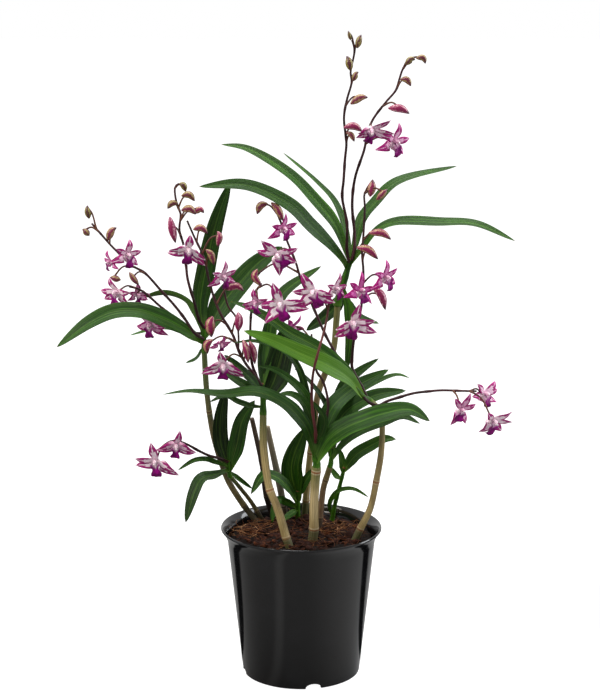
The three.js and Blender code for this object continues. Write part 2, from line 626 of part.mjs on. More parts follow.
function bud([chin, tip, width], spine) {
  const start = vector(chin);
  const end = vector(tip);
  const middle = start.clone().lerp(end, 0.5);
  const root = spine.getPointAt(sideStalkShare(spine, middle, sideStalkDrop));
  const outward = middle.clone().sub(root);
  const crest = middle.clone().addScaledVector(outward, 0.12);
  crest.z += width * 0.35;
  const girth = [0.34, 0.92, 1, 0.2];
  const radiusAt = (s) => (width / 2) * girth[Math.round(s * 3)];
  const body = stem([chin, crest.toArray(), tip], radiusAt, 4, 3);
  const bend = root.clone().lerp(crest, 0.5);
  bend.z += outward.length() * 0.25;
  const sideStalk = stem([root.toArray(), bend.toArray(), crest.toArray()], () => pedicelRadius, 3, 2);
  return body.add(sideStalk);
}

function stalkRadius(share) {
  return between([1.15, 0.7], share);
}

// A bloom in its own frame: x to its right, y to its upper sepal and z the way it faces
function bloom({ at, stalk, yaw, nod, roll, size, drop = 5 }) {
  const [turn, tip, lean] = [yaw, nod, roll].map(THREE.MathUtils.degToRad);
  const ahead = new THREE.Vector3(Math.sin(turn), -Math.cos(turn), 0);
  const front = ahead.multiplyScalar(Math.cos(tip)).setZ(-Math.sin(tip));
  const right = new THREE.Vector3(Math.cos(turn), Math.sin(turn), 0).applyAxisAngle(front, -lean);
  const up = front.clone().cross(right);
  const frame = new THREE.Matrix4().makeBasis(right, up, front).setPosition(...at);
  const place = (x, y, z) => new THREE.Vector3(x, y, z).multiplyScalar(size).applyMatrix4(frame);
  const facing = (x, y, z) => new THREE.Vector3(x, y, z).transformDirection(frame).toArray();
  const placed = (points) => points.map(([x, y, z]) => place(x, y, z).toArray());
  const hanging = placed([[0, -1.2, 0.8], [0, -3.2, 4.6], [0, -7.6, 6.2], [0, -10.4, 4.6]]);
  const pieces = [star(place), lip(hanging, lipWidth * size, facing(0, 0.7, 0.7))];

  const spine = spineOf(stalks[stalk]);
  const back = place(0, -0.2, -1.6);
  const share = sideStalkShare(spine, back, drop);
  const root = spine.getPointAt(share);
  const away = back.clone().sub(root);
  const along = spine.getTangentAt(share);
  away.addScaledVector(along, -away.dot(along)).normalize();
  root.addScaledVector(away, stalkRadius(share) + 2 * gap);
  const bend = root.clone().lerp(back, 0.55);
  bend.z += root.distanceTo(back) * 0.2;
  pieces.push(stem([root.toArray(), bend.toArray(), back.toArray()], () => pedicelRadius, 3, 2));
  return fused(pieces);
}

// The path with its first point carried on backwards by some length
function lengthened(path, length) {
  const [first, second] = path.slice(0, 2).map(vector);
  const foot = first.clone().addScaledVector(first.clone().sub(second).normalize(), length);
  return [foot.toArray(), ...path];
}

// The path with its first point moved on towards the second
function shortened(path, length) {
  const [first, second] = path.slice(0, 2).map(vector);
  const start = first.clone().addScaledVector(second.clone().sub(first).normalize(), length);
  return [start.toArray(), ...path.slice(1)];
}

// Canes swell slightly at every second ring, where the old leaves were
function caneSolid({ path, radius }, extra = 0) {
  const swelling = (s) => (Math.round(s * caneSteps) % 2 ? 1 : 1.07);
  const radiusAt = (s) => between(radius, s) * swelling(s) + extra;
  return stem(lengthened(path, plantingDepth + extra), radiusAt, caneSides, caneSteps);
}

// A crown starts just off the top of its cane, or stands in the mix as a young shoot
function crownPath({ cane, crown }) {
  if (!cane) return lengthened(crown, plantingDepth);
  const caneCurve = curveThrough(canes[cane].path);
  const [end, along] = [caneCurve.getPointAt(1), caneCurve.getTangentAt(1)];
  return [gap, 3].map((offset) => end.clone().addScaledVector(along, offset).toArray()).concat(crown);
}

function foliageSolid(tuft) {
  const crown = stem(crownPath(tuft), (s) => between(tuft.radius, s), 6, tuft.cane ? 2 : 4);
  return fused([crown, ...tuft.leaves.map(leaf)]);
}

function stalkSolid({ foliage: tuft, path, branch, buds }) {
  const start = shortened(path, foliage[tuft].radius[1] + gap + 0.4);
  const steps = Math.round(curveThrough(path).getLength() / stalkStep);
  const spine = spineOf({ path: start });
  const pieces = [stem(start, stalkRadius, 4, steps), ...buds.map((one) => bud(one, spine))];
  if (branch) pieces.push(stem(branch, () => stalkRadius(0.7), 4, 4));
  return fused(pieces);
}

function potSolid() {
  const taper = (bodyTopRadius - footRadius) / (potHeight - lipHeight);
  const outside = (z) => footRadius + taper * z;
  const profile = [
    [0, floorHeight],
    [footRadius - footWidth, floorHeight],
    [footRadius - footWidth, 0],
    [footRadius - 0.7, 0],
    [footRadius + 0.1, 1],
    [outside(potHeight - lipHeight), potHeight - lipHeight],
    [bodyTopRadius + 1.2, potHeight - 8],
    [bodyTopRadius + 3.3, potHeight - 3.8],
    [rimRadius, potHeight - 1.4],
    [rimRadius - 0.1, potHeight - 0.4],
    [rimRadius - 0.8, potHeight],
    [bodyTopRadius + 2.4, potHeight - 2.6],
    [bodyTopRadius - 0.3, potHeight - 7.4],
    [outside(potHeight - lipHeight) - wallThickness, potHeight - lipHeight],
    [outside(floorHeight) - wallThickness, floorHeight + 2],
    [0, floorHeight + 2],
  ];
  const outline = profile.map(([radius, z]) => new THREE.Vector2(radius, z));
  let shell = solidOf(new THREE.LatheGeometry(outline, potSegments).rotateX(Math.PI / 2));
  for (let i = 0; i < drainHole.count; i++) {
    const angle = (2 * Math.PI * i) / drainHole.count;
    const hole = new THREE.CylinderGeometry(drainHole.radius, drainHole.radius, 12, 8);
    hole.rotateX(Math.PI / 2).translate(drainHole.ringRadius, 0, floorHeight + 1).rotateZ(angle);
    shell = shell.subtract(solidOf(hole));
  }
  const { count, halfWidth, height, firstAngle } = footNotch;
  const arch = new THREE.Shape();
  arch.moveTo(-halfWidth, -1);
  arch.lineTo(halfWidth, -1);
  arch.lineTo(halfWidth * 0.62, height * 0.75);
  arch.lineTo(0, height);
  arch.lineTo(-halfWidth * 0.62, height * 0.75);
  arch.closePath();
  for (let i = 0; i < count; i++) {
    const notch = new THREE.ExtrudeGeometry(arch, { depth: 14, bevelEnabled: false });
    notch.rotateX(Math.PI / 2).translate(0, -footRadius + 10, 0);
    notch.rotateZ(THREE.MathUtils.degToRad(firstAngle + (360 / count) * i));
    shell = shell.subtract(solidOf(notch));
  }
  return shell;
}

// The mix stands higher at the front and sinks towards the wall at both sides
function mixHeight(x, y) {
  const lumps = 1.3 * Math.sin(x * 0.19 + 1.1) * Math.cos(y * 0.17) + 0.8 * Math.sin(x * 0.41 - y * 0.37);
  const sides = -3.2 * (x / bodyTopRadius) ** 4;
  return mixLevel - (2.6 * y) / bodyTopRadius + sides + lumps;
}

function mixSolid() {
  const random = seededRandom(7);
  const segments = 20;
  const taper = (bodyTopRadius - footRadius) / (potHeight - lipHeight);
  const inside = (z) => (footRadius + taper * z - wallThickness) * Math.cos(Math.PI / potSegments) - gap;
  const ring = (radius, heightAt) =>
    Array.from({ length: segments }, (_, i) => {
      const angle = (2 * Math.PI * i) / segments;
      const [x, y] = [radius * Math.cos(angle), radius * Math.sin(angle)];
      return new THREE.Vector3(x, y, heightAt(x, y));
    });
  const bottom = floorHeight + 2 + gap;
  const level = potHeight - lipHeight - 1;
  const rings = [ring(inside(bottom), () => bottom), ring(inside(level), () => level)];
  for (const radius of [inside(level) - 1, 47, 36, 25, 14, 4]) {
    rings.push(ring(radius, (x, y) => Math.max(level + 0.5, mixHeight(x, y) + 1.6 * (random() - 0.5))));
  }
  let mix = loft(rings);
  for (let i = 0; i < 14; i++) {
    const radius = 51 * Math.sqrt(random());
    const angle = 2 * Math.PI * random();
    const [x, y] = [radius * Math.cos(angle), radius * Math.sin(angle)];
    const chip = new THREE.BoxGeometry(4 + 6 * random(), 3 + 3 * random(), 2.4);
    chip.rotateX(0.9 * (random() - 0.5)).rotateY(0.9 * (random() - 0.5)).rotateZ(Math.PI * random());
    chip.translate(x, y, mixHeight(x, y) + 0.2);
    mix = mix.add(solidOf(chip));
  }
  for (const cane of Object.values(canes)) mix = mix.subtract(caneSolid(cane, holeClearance));
  for (const { crown, radius } of Object.values(foliage).filter(({ cane }) => !cane)) {
    const radiusAt = (s) => between(radius, s) + gap;
    mix = mix.subtract(stem(lengthened(crown, plantingDepth + gap), radiusAt, 6, 4));
  }
  return mix.decompose().sort((a, b) => b.volume() - a.volume())[0];
}

const group = new THREE.Group();

function addPiece(name, solid, color, roughness) {
  const material = new THREE.MeshStandardMaterial({ color, roughness, metalness: 0 });
  const piece = new THREE.Mesh(geometryOf(solid), material);
  piece.name = name;
  group.add(piece);
}

const nodeName = (kind, key) => kind + "_" + key.replace(/[A-Z]/g, (letter) => "_" + letter.toLowerCase());

addPiece("pot", potSolid(), colours.pot, 0.25);
addPiece("potting_mix", mixSolid(), colours.mix, 0.95);
for (const [key, cane] of Object.entries(canes)) {
  addPiece(nodeName("cane", key), caneSolid(cane), cane.colour, 0.6);
}
for (const [key, tuft] of Object.entries(foliage)) {
  addPiece(nodeName("foliage", key), foliageSolid(tuft), tuft.colour, 0.45);
}
for (const [key, stalk] of Object.entries(stalks)) {
  const colour = key === "red" ? colours.redStalk : colours.stalk;
  addPiece(nodeName("stalk", key), stalkSolid(stalk), colour, 0.6);
}
blooms.forEach((one, i) => {
  const number = String(i + 1).padStart(2, "0");
  addPiece("bloom_" + number, bloom(one), colours.bloom, 0.5);
});

// The part's origin is the middle of its bounding box's bottom
const box = new THREE.Box3().setFromObject(group);
const middle = box.getCenter(new THREE.Vector3());
group.children.forEach((piece) => piece.position.set(-middle.x, -middle.y, -box.min.z));

export default group;
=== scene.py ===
import math
import random

import bmesh
import bpy
import numpy as np
from mathutils import Matrix, Vector, noise


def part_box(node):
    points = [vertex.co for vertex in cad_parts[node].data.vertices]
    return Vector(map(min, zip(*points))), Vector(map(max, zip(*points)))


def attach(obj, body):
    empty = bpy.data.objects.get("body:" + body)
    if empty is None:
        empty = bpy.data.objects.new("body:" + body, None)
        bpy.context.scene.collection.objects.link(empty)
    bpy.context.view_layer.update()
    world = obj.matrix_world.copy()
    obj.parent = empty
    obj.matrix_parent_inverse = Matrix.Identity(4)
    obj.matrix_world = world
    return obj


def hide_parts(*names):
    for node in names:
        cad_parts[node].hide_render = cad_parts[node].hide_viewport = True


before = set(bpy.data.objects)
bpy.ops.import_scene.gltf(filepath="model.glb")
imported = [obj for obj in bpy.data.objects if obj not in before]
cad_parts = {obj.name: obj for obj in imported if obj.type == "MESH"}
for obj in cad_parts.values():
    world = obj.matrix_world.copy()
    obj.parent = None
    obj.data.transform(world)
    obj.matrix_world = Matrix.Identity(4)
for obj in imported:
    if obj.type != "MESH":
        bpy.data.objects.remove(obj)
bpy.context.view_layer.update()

potLow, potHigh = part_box("pot")
potFoot = np.array([(potLow.x + potHigh.x) / 2, (potLow.y + potHigh.y) / 2, potLow.z])  # on the ground
scene = bpy.context.scene
print("frame loaded, the pot stands at", potFoot.round(4))


# nodes and materials


def colour(text):
    parts = [int(text[i:i + 2], 16) / 255 for i in (1, 3, 5)]
    return tuple(p / 12.92 if p <= 0.04045 else ((p + 0.055) / 1.055) ** 2.4 for p in parts) + (1.0,)


def feed(tree, socket, value):
    if isinstance(value, bpy.types.NodeSocket):
        tree.links.new(value, socket)
    else:
        socket.default_value = value


def addNode(tree, kind, feeds, output=0, **options):
    node = tree.nodes.new(kind)
    for name, value in options.items():
        setattr(node, name, value)
    for name, value in feeds.items():
        feed(tree, node.inputs[name], value)
    return node.outputs[output]


def calc(tree, operation, a, b=0.0, c=0.0):
    return addNode(tree, "ShaderNodeMath", {0: a, 1: b, 2: c}, operation=operation)


def times(tree, a, b):
    return calc(tree, "MULTIPLY", a, b)


def plus(tree, a, b):
    return calc(tree, "ADD", a, b)


def opposite(tree, value):  # 1 becomes 0 and 0 becomes 1
    return calc(tree, "SUBTRACT", 1.0, value)


def scaled(tree, vector, size):
    return addNode(tree, "ShaderNodeVectorMath", {0: vector, "Scale": size}, operation="SCALE")


def threeNumbers(tree, x, y, z):
    return addNode(tree, "ShaderNodeCombineXYZ", {"X": x, "Y": y, "Z": z})


def apart(tree, vector):
    node = tree.nodes.new("ShaderNodeSeparateXYZ")
    tree.links.new(vector, node.inputs[0])
    return tuple(node.outputs)


def step(tree, value, low, high):  # rises smoothly from 0 at low to 1 at high
    feeds = {"Value": value, "From Min": low, "From Max": high}
    return addNode(tree, "ShaderNodeMapRange", feeds, interpolation_type="SMOOTHSTEP")


def mixColour(tree, share, first, second):
    first, second = [colour(part) if isinstance(part, str) else part for part in (first, second)]
    return addNode(tree, "ShaderNodeMix", {0: share, 6: first, 7: second}, 2, data_type="RGBA")


def tinted(tree, skin, mask, strength, shade):  # the shade shows where the mask is 1
    return mixColour(tree, times(tree, mask, strength), skin, shade)


def placed(tree, stretch=(1, 1, 1)):
    coordinates = addNode(tree, "ShaderNodeTexCoord", {}, "Object")
    return addNode(tree, "ShaderNodeMapping", {"Vector": coordinates, "Scale": stretch})


def speckle(tree, scale, detail=3.0, stretch=(1, 1, 1), roughness=0.5):
    feeds = {"Vector": placed(tree, stretch), "Scale": scale, "Detail": detail, "Roughness": roughness}
    return addNode(tree, "ShaderNodeTexNoise", feeds)


def attribute(tree, name):
    return addNode(tree, "ShaderNodeAttribute", {}, "Fac", attribute_name=name)


def acrossAndAlong(tree):  # 0 to 1 round or across a part, and 0 to 1 along it
    return apart(tree, addNode(tree, "ShaderNodeUVMap", {}, uv_map="UVMap"))[:2]


def offMiddle(tree, across):  # 0 on the middle line of a blade, 1 on both edges
    return calc(tree, "ABSOLUTE", calc(tree, "MULTIPLY_ADD", across, 2.0, -1.0))


def streaks(tree, across, along, detail):
    u, v = acrossAndAlong(tree)
    shift = times(tree, attribute(tree, "tone"), 37.0)  # each part gets streaks of its own
    place = threeNumbers(tree, times(tree, u, across), times(tree, v, along), shift)
    return addNode(tree, "ShaderNodeTexNoise", {"Vector": place, "Scale": 1.0, "Detail": detail})


def stripes(tree, value, count, wobble):
    return calc(tree, "SINE", calc(tree, "MULTIPLY_ADD", value, 2 * math.pi * count, wobble))


def newMaterial(name):
    material = bpy.data.materials.new(name)
    material.use_nodes = True
    material.node_tree.nodes.clear()
    return material, material.node_tree


def coated(material, feeds, relief=None, strength=0.0, depth=0.0):
    tree = material.node_tree
    if relief is not None:
        raised = addNode(tree, "ShaderNodeBump", {"Height": relief, "Strength": strength, "Distance": depth})
        feeds = {**feeds, "Normal": raised}
    surface = addNode(tree, "ShaderNodeBsdfPrincipled", feeds)
    tree.links.new(surface, tree.nodes.new("ShaderNodeOutputMaterial").inputs["Surface"])
    return material


# paths and the strands that grow along them

rowsPerLeg = 24  # rows worked out between two points of a path
tiny = 1e-12


def unit(rows):
    return rows / np.maximum(np.linalg.norm(rows, axis=-1, keepdims=True), tiny)


def hump(values, width=1.0):
    return np.exp(-(values / width) ** 2)


def pathLength(path):
    return float(np.linalg.norm(np.diff(np.array(path, float), axis=0), axis=1).sum())


def curvePoints(path, count):  # a smooth curve through the path, as points an even way apart
    points = [np.array(p, float) for p in path]
    points = [2 * points[0] - points[1]] + points + [2 * points[-1] - points[-2]]
    share = np.linspace(0, 1, rowsPerLeg, endpoint=False)[:, None]
    fine = []
    for p0, p1, p2, p3 in zip(points, points[1:], points[2:], points[3:]):
        d0, d1, d2 = (max(np.linalg.norm(b - a), 1e-6) ** 0.5 for a, b in ((p0, p1), (p1, p2), (p2, p3)))
        leave = ((p1 - p0) / d0 - (p2 - p0) / (d0 + d1) + (p2 - p1) / d1) * d1
        arrive = ((p2 - p1) / d1 - (p3 - p1) / (d1 + d2) + (p3 - p2) / d2) * d1
        fine.append(p1 * (2 * share ** 3 - 3 * share ** 2 + 1) + leave * (share ** 3 - 2 * share ** 2 + share)
                    + p2 * (3 * share ** 2 - 2 * share ** 3) + arrive * (share ** 3 - share ** 2))
    fine = np.vstack(fine + [points[-2][None]])
    reach = np.concatenate([[0], np.cumsum(np.linalg.norm(np.diff(fine, axis=0), axis=1))])
    wanted = np.linspace(0, reach[-1], count)
    return np.stack([np.interp(wanted, reach, fine[:, k]) for k in range(3)], axis=1)


def smoothShares(values, count):
    known = curvePoints([(i / (len(values) - 1), value, 0) for i, value in enumerate(values)], 80)
    return np.interp(np.linspace(0, 1, count), known[:, 0], known[:, 1])


def strand(points, girth, tone=0.0, mark=0.0, face=(0, 0, 1), twist=0.0, cap=0.45):
    points = np.array(points, float)
    count = len(points)
    girth = np.broadcast_to(girth, count)
    tangent = unit(np.gradient(points, axis=0))
    first = points[0] - tangent[0] * max(girth[0] * cap, 1e-5)
    last = points[-1] + tangent[-1] * max(girth[-1] * cap, 1e-5)
    share = np.linspace(0, 1, count)
    face = np.array(face, float)
    facing = unit(face - (tangent @ face)[:, None] * tangent)
    turn = np.radians(twist * share)[:, None]
    facing = facing * np.cos(turn) + np.cross(tangent, facing) * np.sin(turn)
    ends = lambda values: np.concatenate([values[:1], values, values[-1:]])
    return {"points": np.vstack([first, points, last]), "girth": np.concatenate([[0], girth, [0]]),
            "along": ends(share), "reach": ends(share * pathLength(points)), "face": ends(facing),
            "tone": ends(np.broadcast_to(tone, count)), "mark": ends(np.broadcast_to(mark, count))}


def field(tree, name, kind="FLOAT"):
    return addNode(tree, "GeometryNodeInputNamedAttribute", {"Name": name}, data_type=kind)


def keep(tree, geometry, name, value, kind="FLOAT", domain="POINT"):
    feeds = {"Geometry": geometry, "Name": name, "Value": value}
    return addNode(tree, "GeometryNodeStoreNamedAttribute", feeds, data_type=kind, domain=domain)


def newTree(name, **sizes):
    tree = bpy.data.node_groups.new(name, "GeometryNodeTree")
    tree.interface.new_socket("geometry", in_out="INPUT", socket_type="NodeSocketGeometry")
    for label, kind in sizes.items():
        tree.interface.new_socket(label, in_out="INPUT", socket_type="NodeSocket" + kind)
    tree.interface.new_socket("geometry", in_out="OUTPUT", socket_type="NodeSocketGeometry")
    return tree, tree.nodes.new("NodeGroupInput").outputs


def closeTree(tree, geometry, material):
    whole = addNode(tree, "GeometryNodeRealizeInstances", {"Geometry": geometry})
    dressed = addNode(tree, "GeometryNodeSetMaterial", {"Geometry": whole, "Material": material})
    tree.links.new(dressed, tree.nodes.new("NodeGroupOutput").inputs[0])
    return tree


def sweptSkin(tree, path, section, across):
    feeds = {"Curve": path, "Profile Curve": section, "Scale": field(tree, "girth")}
    skin = addNode(tree, "GeometryNodeCurveToMesh", feeds)
    place = threeNumbers(tree, across, field(tree, "along"), 0.0)
    skin = keep(tree, skin, "UVMap", place, "FLOAT2", "CORNER")
    return addNode(tree, "GeometryNodeMergeByDistance", {"Geometry": skin, "Distance": 1e-6})


def stemTree():  # round stems, one for each strand
    tree, given = newTree("stemSweep", sides="Int", material="Material")
    path = addNode(tree, "GeometryNodeMeshToCurve", {"Mesh": given["geometry"]})
    feeds = {"Resolution": plus(tree, given["sides"], 1.0), "Radius": 1.0, "Sweep Angle": 2 * math.pi}
    section = addNode(tree, "GeometryNodeCurveArc", feeds, mode="RADIUS")
    section = keep(tree, section, "across", addNode(tree, "GeometryNodeSplineParameter", {}))
    return closeTree(tree, sweptSkin(tree, path, section, field(tree, "across")), given["material"])


def bladeTree():  # flat blades, one for each strand, folded along the middle and waved at the edges
    tree, given = newTree("bladeSweep", sides="Int", thickness="Float", fold="Float", wave="Float",
                          waveLength="Float", groove="Float", material="Material")
    path = addNode(tree, "GeometryNodeMeshToCurve", {"Mesh": given["geometry"]})
    feeds = {"Curve": path, "Normal": field(tree, "face", "FLOAT_VECTOR")}
    path = addNode(tree, "GeometryNodeSetCurveNormal", feeds, mode="FREE")
    feeds = {"Resolution": given["sides"], "Radius": 1.0}
    section = addNode(tree, "GeometryNodeCurvePrimitiveCircle", feeds, mode="RADIUS")
    up, out, _ = apart(tree, addNode(tree, "GeometryNodeInputPosition", {}))
    section = keep(tree, section, "under", calc(tree, "LESS_THAN", up, -0.001))
    section = keep(tree, section, "out", out)
    flat = threeNumbers(tree, times(tree, times(tree, up, 0.5), given["thickness"]), out, 0.0)
    section = addNode(tree, "GeometryNodeSetPosition", {"Geometry": section, "Position": flat})
    out = field(tree, "out")
    skin = sweptSkin(tree, path, section, calc(tree, "MULTIPLY_ADD", out, 0.5, 0.5))
    edge = calc(tree, "POWER", calc(tree, "ABSOLUTE", out), 1.2)
    bend = times(tree, given["fold"], plus(tree, field(tree, "mark"), 1.0))
    turn = calc(tree, "DIVIDE", field(tree, "reach"), given["waveLength"])
    turn = plus(tree, turn, times(tree, field(tree, "tone"), 23.0))  # each blade waves in its own way
    swing = times(tree, calc(tree, "SINE", calc(tree, "MULTIPLY_ADD", out, 1.3, turn)), given["wave"])
    swing = times(tree, swing, calc(tree, "POWER", edge, 1.7))
    middle = calc(tree, "LESS_THAN", calc(tree, "ABSOLUTE", out), 0.05)
    lift = calc(tree, "MULTIPLY_ADD", edge, bend, swing)
    lift = calc(tree, "SUBTRACT", lift, times(tree, middle, given["groove"]))
    lift = times(tree, lift, field(tree, "girth"))
    feeds = {"Geometry": skin, "Offset": scaled(tree, field(tree, "face", "FLOAT_VECTOR"), lift)}
    return closeTree(tree, addNode(tree, "GeometryNodeSetPosition", feeds), given["material"])


stemSweep, bladeSweep = stemTree(), bladeTree()


def guideMesh(strands):
    mesh = bpy.data.meshes.new("guide")
    points = np.vstack([one["points"] for one in strands]) + potFoot
    starts = np.cumsum([0] + [len(one["points"]) for one in strands])
    edges = [(k, k + 1) for a, b in zip(starts, starts[1:]) for k in range(int(a), int(b) - 1)]
    mesh.from_pydata(points.tolist(), edges, [])
    for name in ("girth", "along", "reach", "tone", "mark"):
        values = np.concatenate([one[name] for one in strands]).astype(np.float32)
        mesh.attributes.new(name, "FLOAT", "POINT").data.foreach_set("value", values)
    faces = np.vstack([one["face"] for one in strands]).astype(np.float32).ravel()
    mesh.attributes.new("face", "FLOAT_VECTOR", "POINT").data.foreach_set("vector", faces)
    return mesh


def linked(name, data):
    piece = bpy.data.objects.new(name, data)
    scene.collection.objects.link(piece)
    return piece


def plainMesh(piece):
    return bpy.data.meshes.new_from_object(piece.evaluated_get(bpy.context.evaluated_depsgraph_get()))


def grow(name, tree, mesh, **sizes):
    guide = linked(name + "_guide", mesh)
    growth = guide.modifiers.new("growth", "NODES")
    growth.node_group = tree
    for socket in tree.interface.items_tree:
        if socket.in_out == "INPUT" and socket.name in sizes:
            growth[socket.identifier] = sizes[socket.name]
    grown = plainMesh(guide)
    guide.modifiers.remove(growth)
    bpy.data.objects.remove(guide)
    return linked(name, grown)


def stems(name, strands, material, sides):
    return grow(name, stemSweep, guideMesh(strands), sides=sides, material=material)


def blades(name, strands, material, section):
    return grow(name, bladeSweep, guideMesh(strands), material=material, **section)


def joined(name, parts):
    chosen = {"active_object": parts[0], "object": parts[0], "selected_objects": parts}
    with bpy.context.temp_override(selected_editable_objects=parts, **chosen):
        bpy.ops.object.join()
    parts[0].name = name
    return parts[0]


def finished(piece, slotName, *nodes):
    form = bmesh.new()
    form.from_mesh(piece.data)
    bmesh.ops.dissolve_degenerate(form, edges=form.edges, dist=1e-7)
    bmesh.ops.recalc_face_normals(form, faces=form.faces)
    form.to_mesh(piece.data)
    form.free()
    piece.data.shade_smooth()
    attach(piece, "root")
    if nodes:
        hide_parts(*nodes)
    return piece


def nodeName(kind, key):  # lowLeft of the kind stalk is the node stalk_low_left
    return kind + "_" + "".join("_" + letter.lower() if letter.isupper() else letter for letter in key)


# canes

caneLook = {
    "depth": 0.012,  # how far a stem reaches down into the mix
    "rowEvery": 0.0009,
    "sides": 20,
    "ringWidth": 0.0005,
    "swelling": 0.08,  # how far a ring stands out, as a share of the radius
    "collar": 7,  # ring widths over which the swelling fades
    "blush": 5,  # ring widths over which the ring's colour fades
    "waver": 0.03,
    "waverLength": 0.009,
    "footEdge": 0.0008,  # how softly the darker foot ends, at the first ring
}

canes = {  # radius at the foot and the tip, rings as shares of the length, path from the pot's foot
    "left": {"radius": (0.0026, 0.0022), "kind": "olive", "rings": (0.16, 0.42, 0.7), "path": [
        (-0.038, 0.032, 0.117), (-0.045, 0.032, 0.126), (-0.054, 0.028, 0.141), (-0.06, 0.025, 0.153),
        (-0.066, 0.02, 0.172), (-0.071, 0.014, 0.194), (-0.074, 0.009, 0.215), (-0.076, 0.004, 0.238),
        (-0.077, -0.001, 0.266)]},
    "thin": {"radius": (0.0019, 0.0016), "kind": "olive", "rings": (0.3, 0.75), "path": [
        (-0.033, 0.036, 0.117), (-0.042, 0.03, 0.134), (-0.049, 0.022, 0.146), (-0.057, 0.01, 0.16)]},
    "stub": {"radius": (0.0024, 0.0019), "kind": "dark", "rings": (0.3, 0.62), "path": [
        (-0.024, 0.042, 0.117), (-0.029, 0.036, 0.137), (-0.032, 0.03, 0.163), (-0.036, 0.024, 0.186),
        (-0.04, 0.018, 0.207)]},
    "tanFront": {"radius": (0.0034, 0.0029), "kind": "tan", "rings": (0.15, 0.49), "path": [
        (-0.01, -0.04, 0.119), (-0.012, -0.04, 0.125), (-0.016, -0.038, 0.139), (-0.02, -0.036, 0.151),
        (-0.025, -0.033, 0.163), (-0.028, -0.03, 0.18), (-0.03, -0.027, 0.201), (-0.03, -0.025, 0.221)]},
    "papery": {"radius": (0.0031, 0.0024), "kind": "papery", "rings": (0.22, 0.55), "path": [
        (-0.014, 0.046, 0.117), (-0.016, 0.042, 0.133), (-0.019, 0.038, 0.151), (-0.023, 0.034, 0.172),
        (-0.028, 0.03, 0.197)]},
    "thickFront": {"radius": (0.0039, 0.0035), "kind": "pale", "rings": (0.29, 0.95), "path": [
        (0.009, -0.025, 0.118), (0.01, -0.026, 0.126), (0.01, -0.029, 0.147), (0.011, -0.032, 0.168),
        (0.012, -0.034, 0.181)]},
    "brown": {"radius": (0.0028, 0.0023), "kind": "brown", "rings": (0.3, 0.8), "path": [
        (0.014, 0.01, 0.117), (0.016, 0.007, 0.135), (0.018, 0.003, 0.153), (0.021, -0.001, 0.165),
        (0.023, -0.005, 0.173)]},
    "curvedRight": {"radius": (0.0029, 0.0022), "kind": "tan", "rings": (0.15, 0.47, 0.86), "path": [
        (0.044, -0.018, 0.118), (0.048, -0.019, 0.127), (0.055, -0.021, 0.143), (0.06, -0.022, 0.168),
        (0.063, -0.022, 0.187), (0.064, -0.022, 0.206), (0.063, -0.023, 0.22), (0.059, -0.026, 0.228),
        (0.055, -0.027, 0.232)]},
    "tall": {"radius": (0.0028, 0.0025), "kind": "tan", "rings": (0.12, 0.34, 0.55, 0.78), "path": [
        (0.003, 0.046, 0.118), (0.006, 0.04, 0.157), (0.01, 0.033, 0.193), (0.014, 0.027, 0.227),
        (0.021, 0.022, 0.248), (0.026, 0.018, 0.265), (0.028, 0.015, 0.287), (0.029, 0.014, 0.301)]},
}

# the streak colour is the canes' own streaks and also the painted shade towards each cane's outline
caneShades = {
    "tan": { "base": "#a8935f", "pale": "#d6c79c", "streakAndPaintedEdgeShade": "#6d5a33", "top": "#6d6c36", "ring": "#8a4a2a",
        "foot": "#39401f"},
    "pale": { "base": "#c2ad7e", "pale": "#e2d5b0", "streakAndPaintedEdgeShade": "#8d784b", "top": "#6d6c36", "ring": "#8a4a2a",
        "foot": "#39401f"},
    "olive": { "base": "#76683f", "pale": "#a39464", "streakAndPaintedEdgeShade": "#444020", "top": "#4f5d27",
        "ring": "#5a3a24", "foot": "#3a3420"},
    "brown": { "base": "#84694a", "pale": "#a08a66", "streakAndPaintedEdgeShade": "#4a3727", "top": "#6d6436",
        "ring": "#3f2418", "foot": "#3a2e1f"},
    "papery": { "base": "#94897a", "pale": "#b0a594", "streakAndPaintedEdgeShade": "#5c5043", "top": "#86795f",
        "ring": "#463a2f", "foot": "#4a3d30"},
    "dark": { "base": "#3f2c21", "pale": "#5a4234", "streakAndPaintedEdgeShade": "#1d130e", "top": "#4a3726", "ring": "#150d0a",
        "foot": "#1d130e"},
}
caneSlots = {"tan": "tan_cane", "pale": "tan_cane", "olive": "olive_cane", "brown": "dark_cane",
             "dark": "dark_cane", "papery": "papery_cane"}


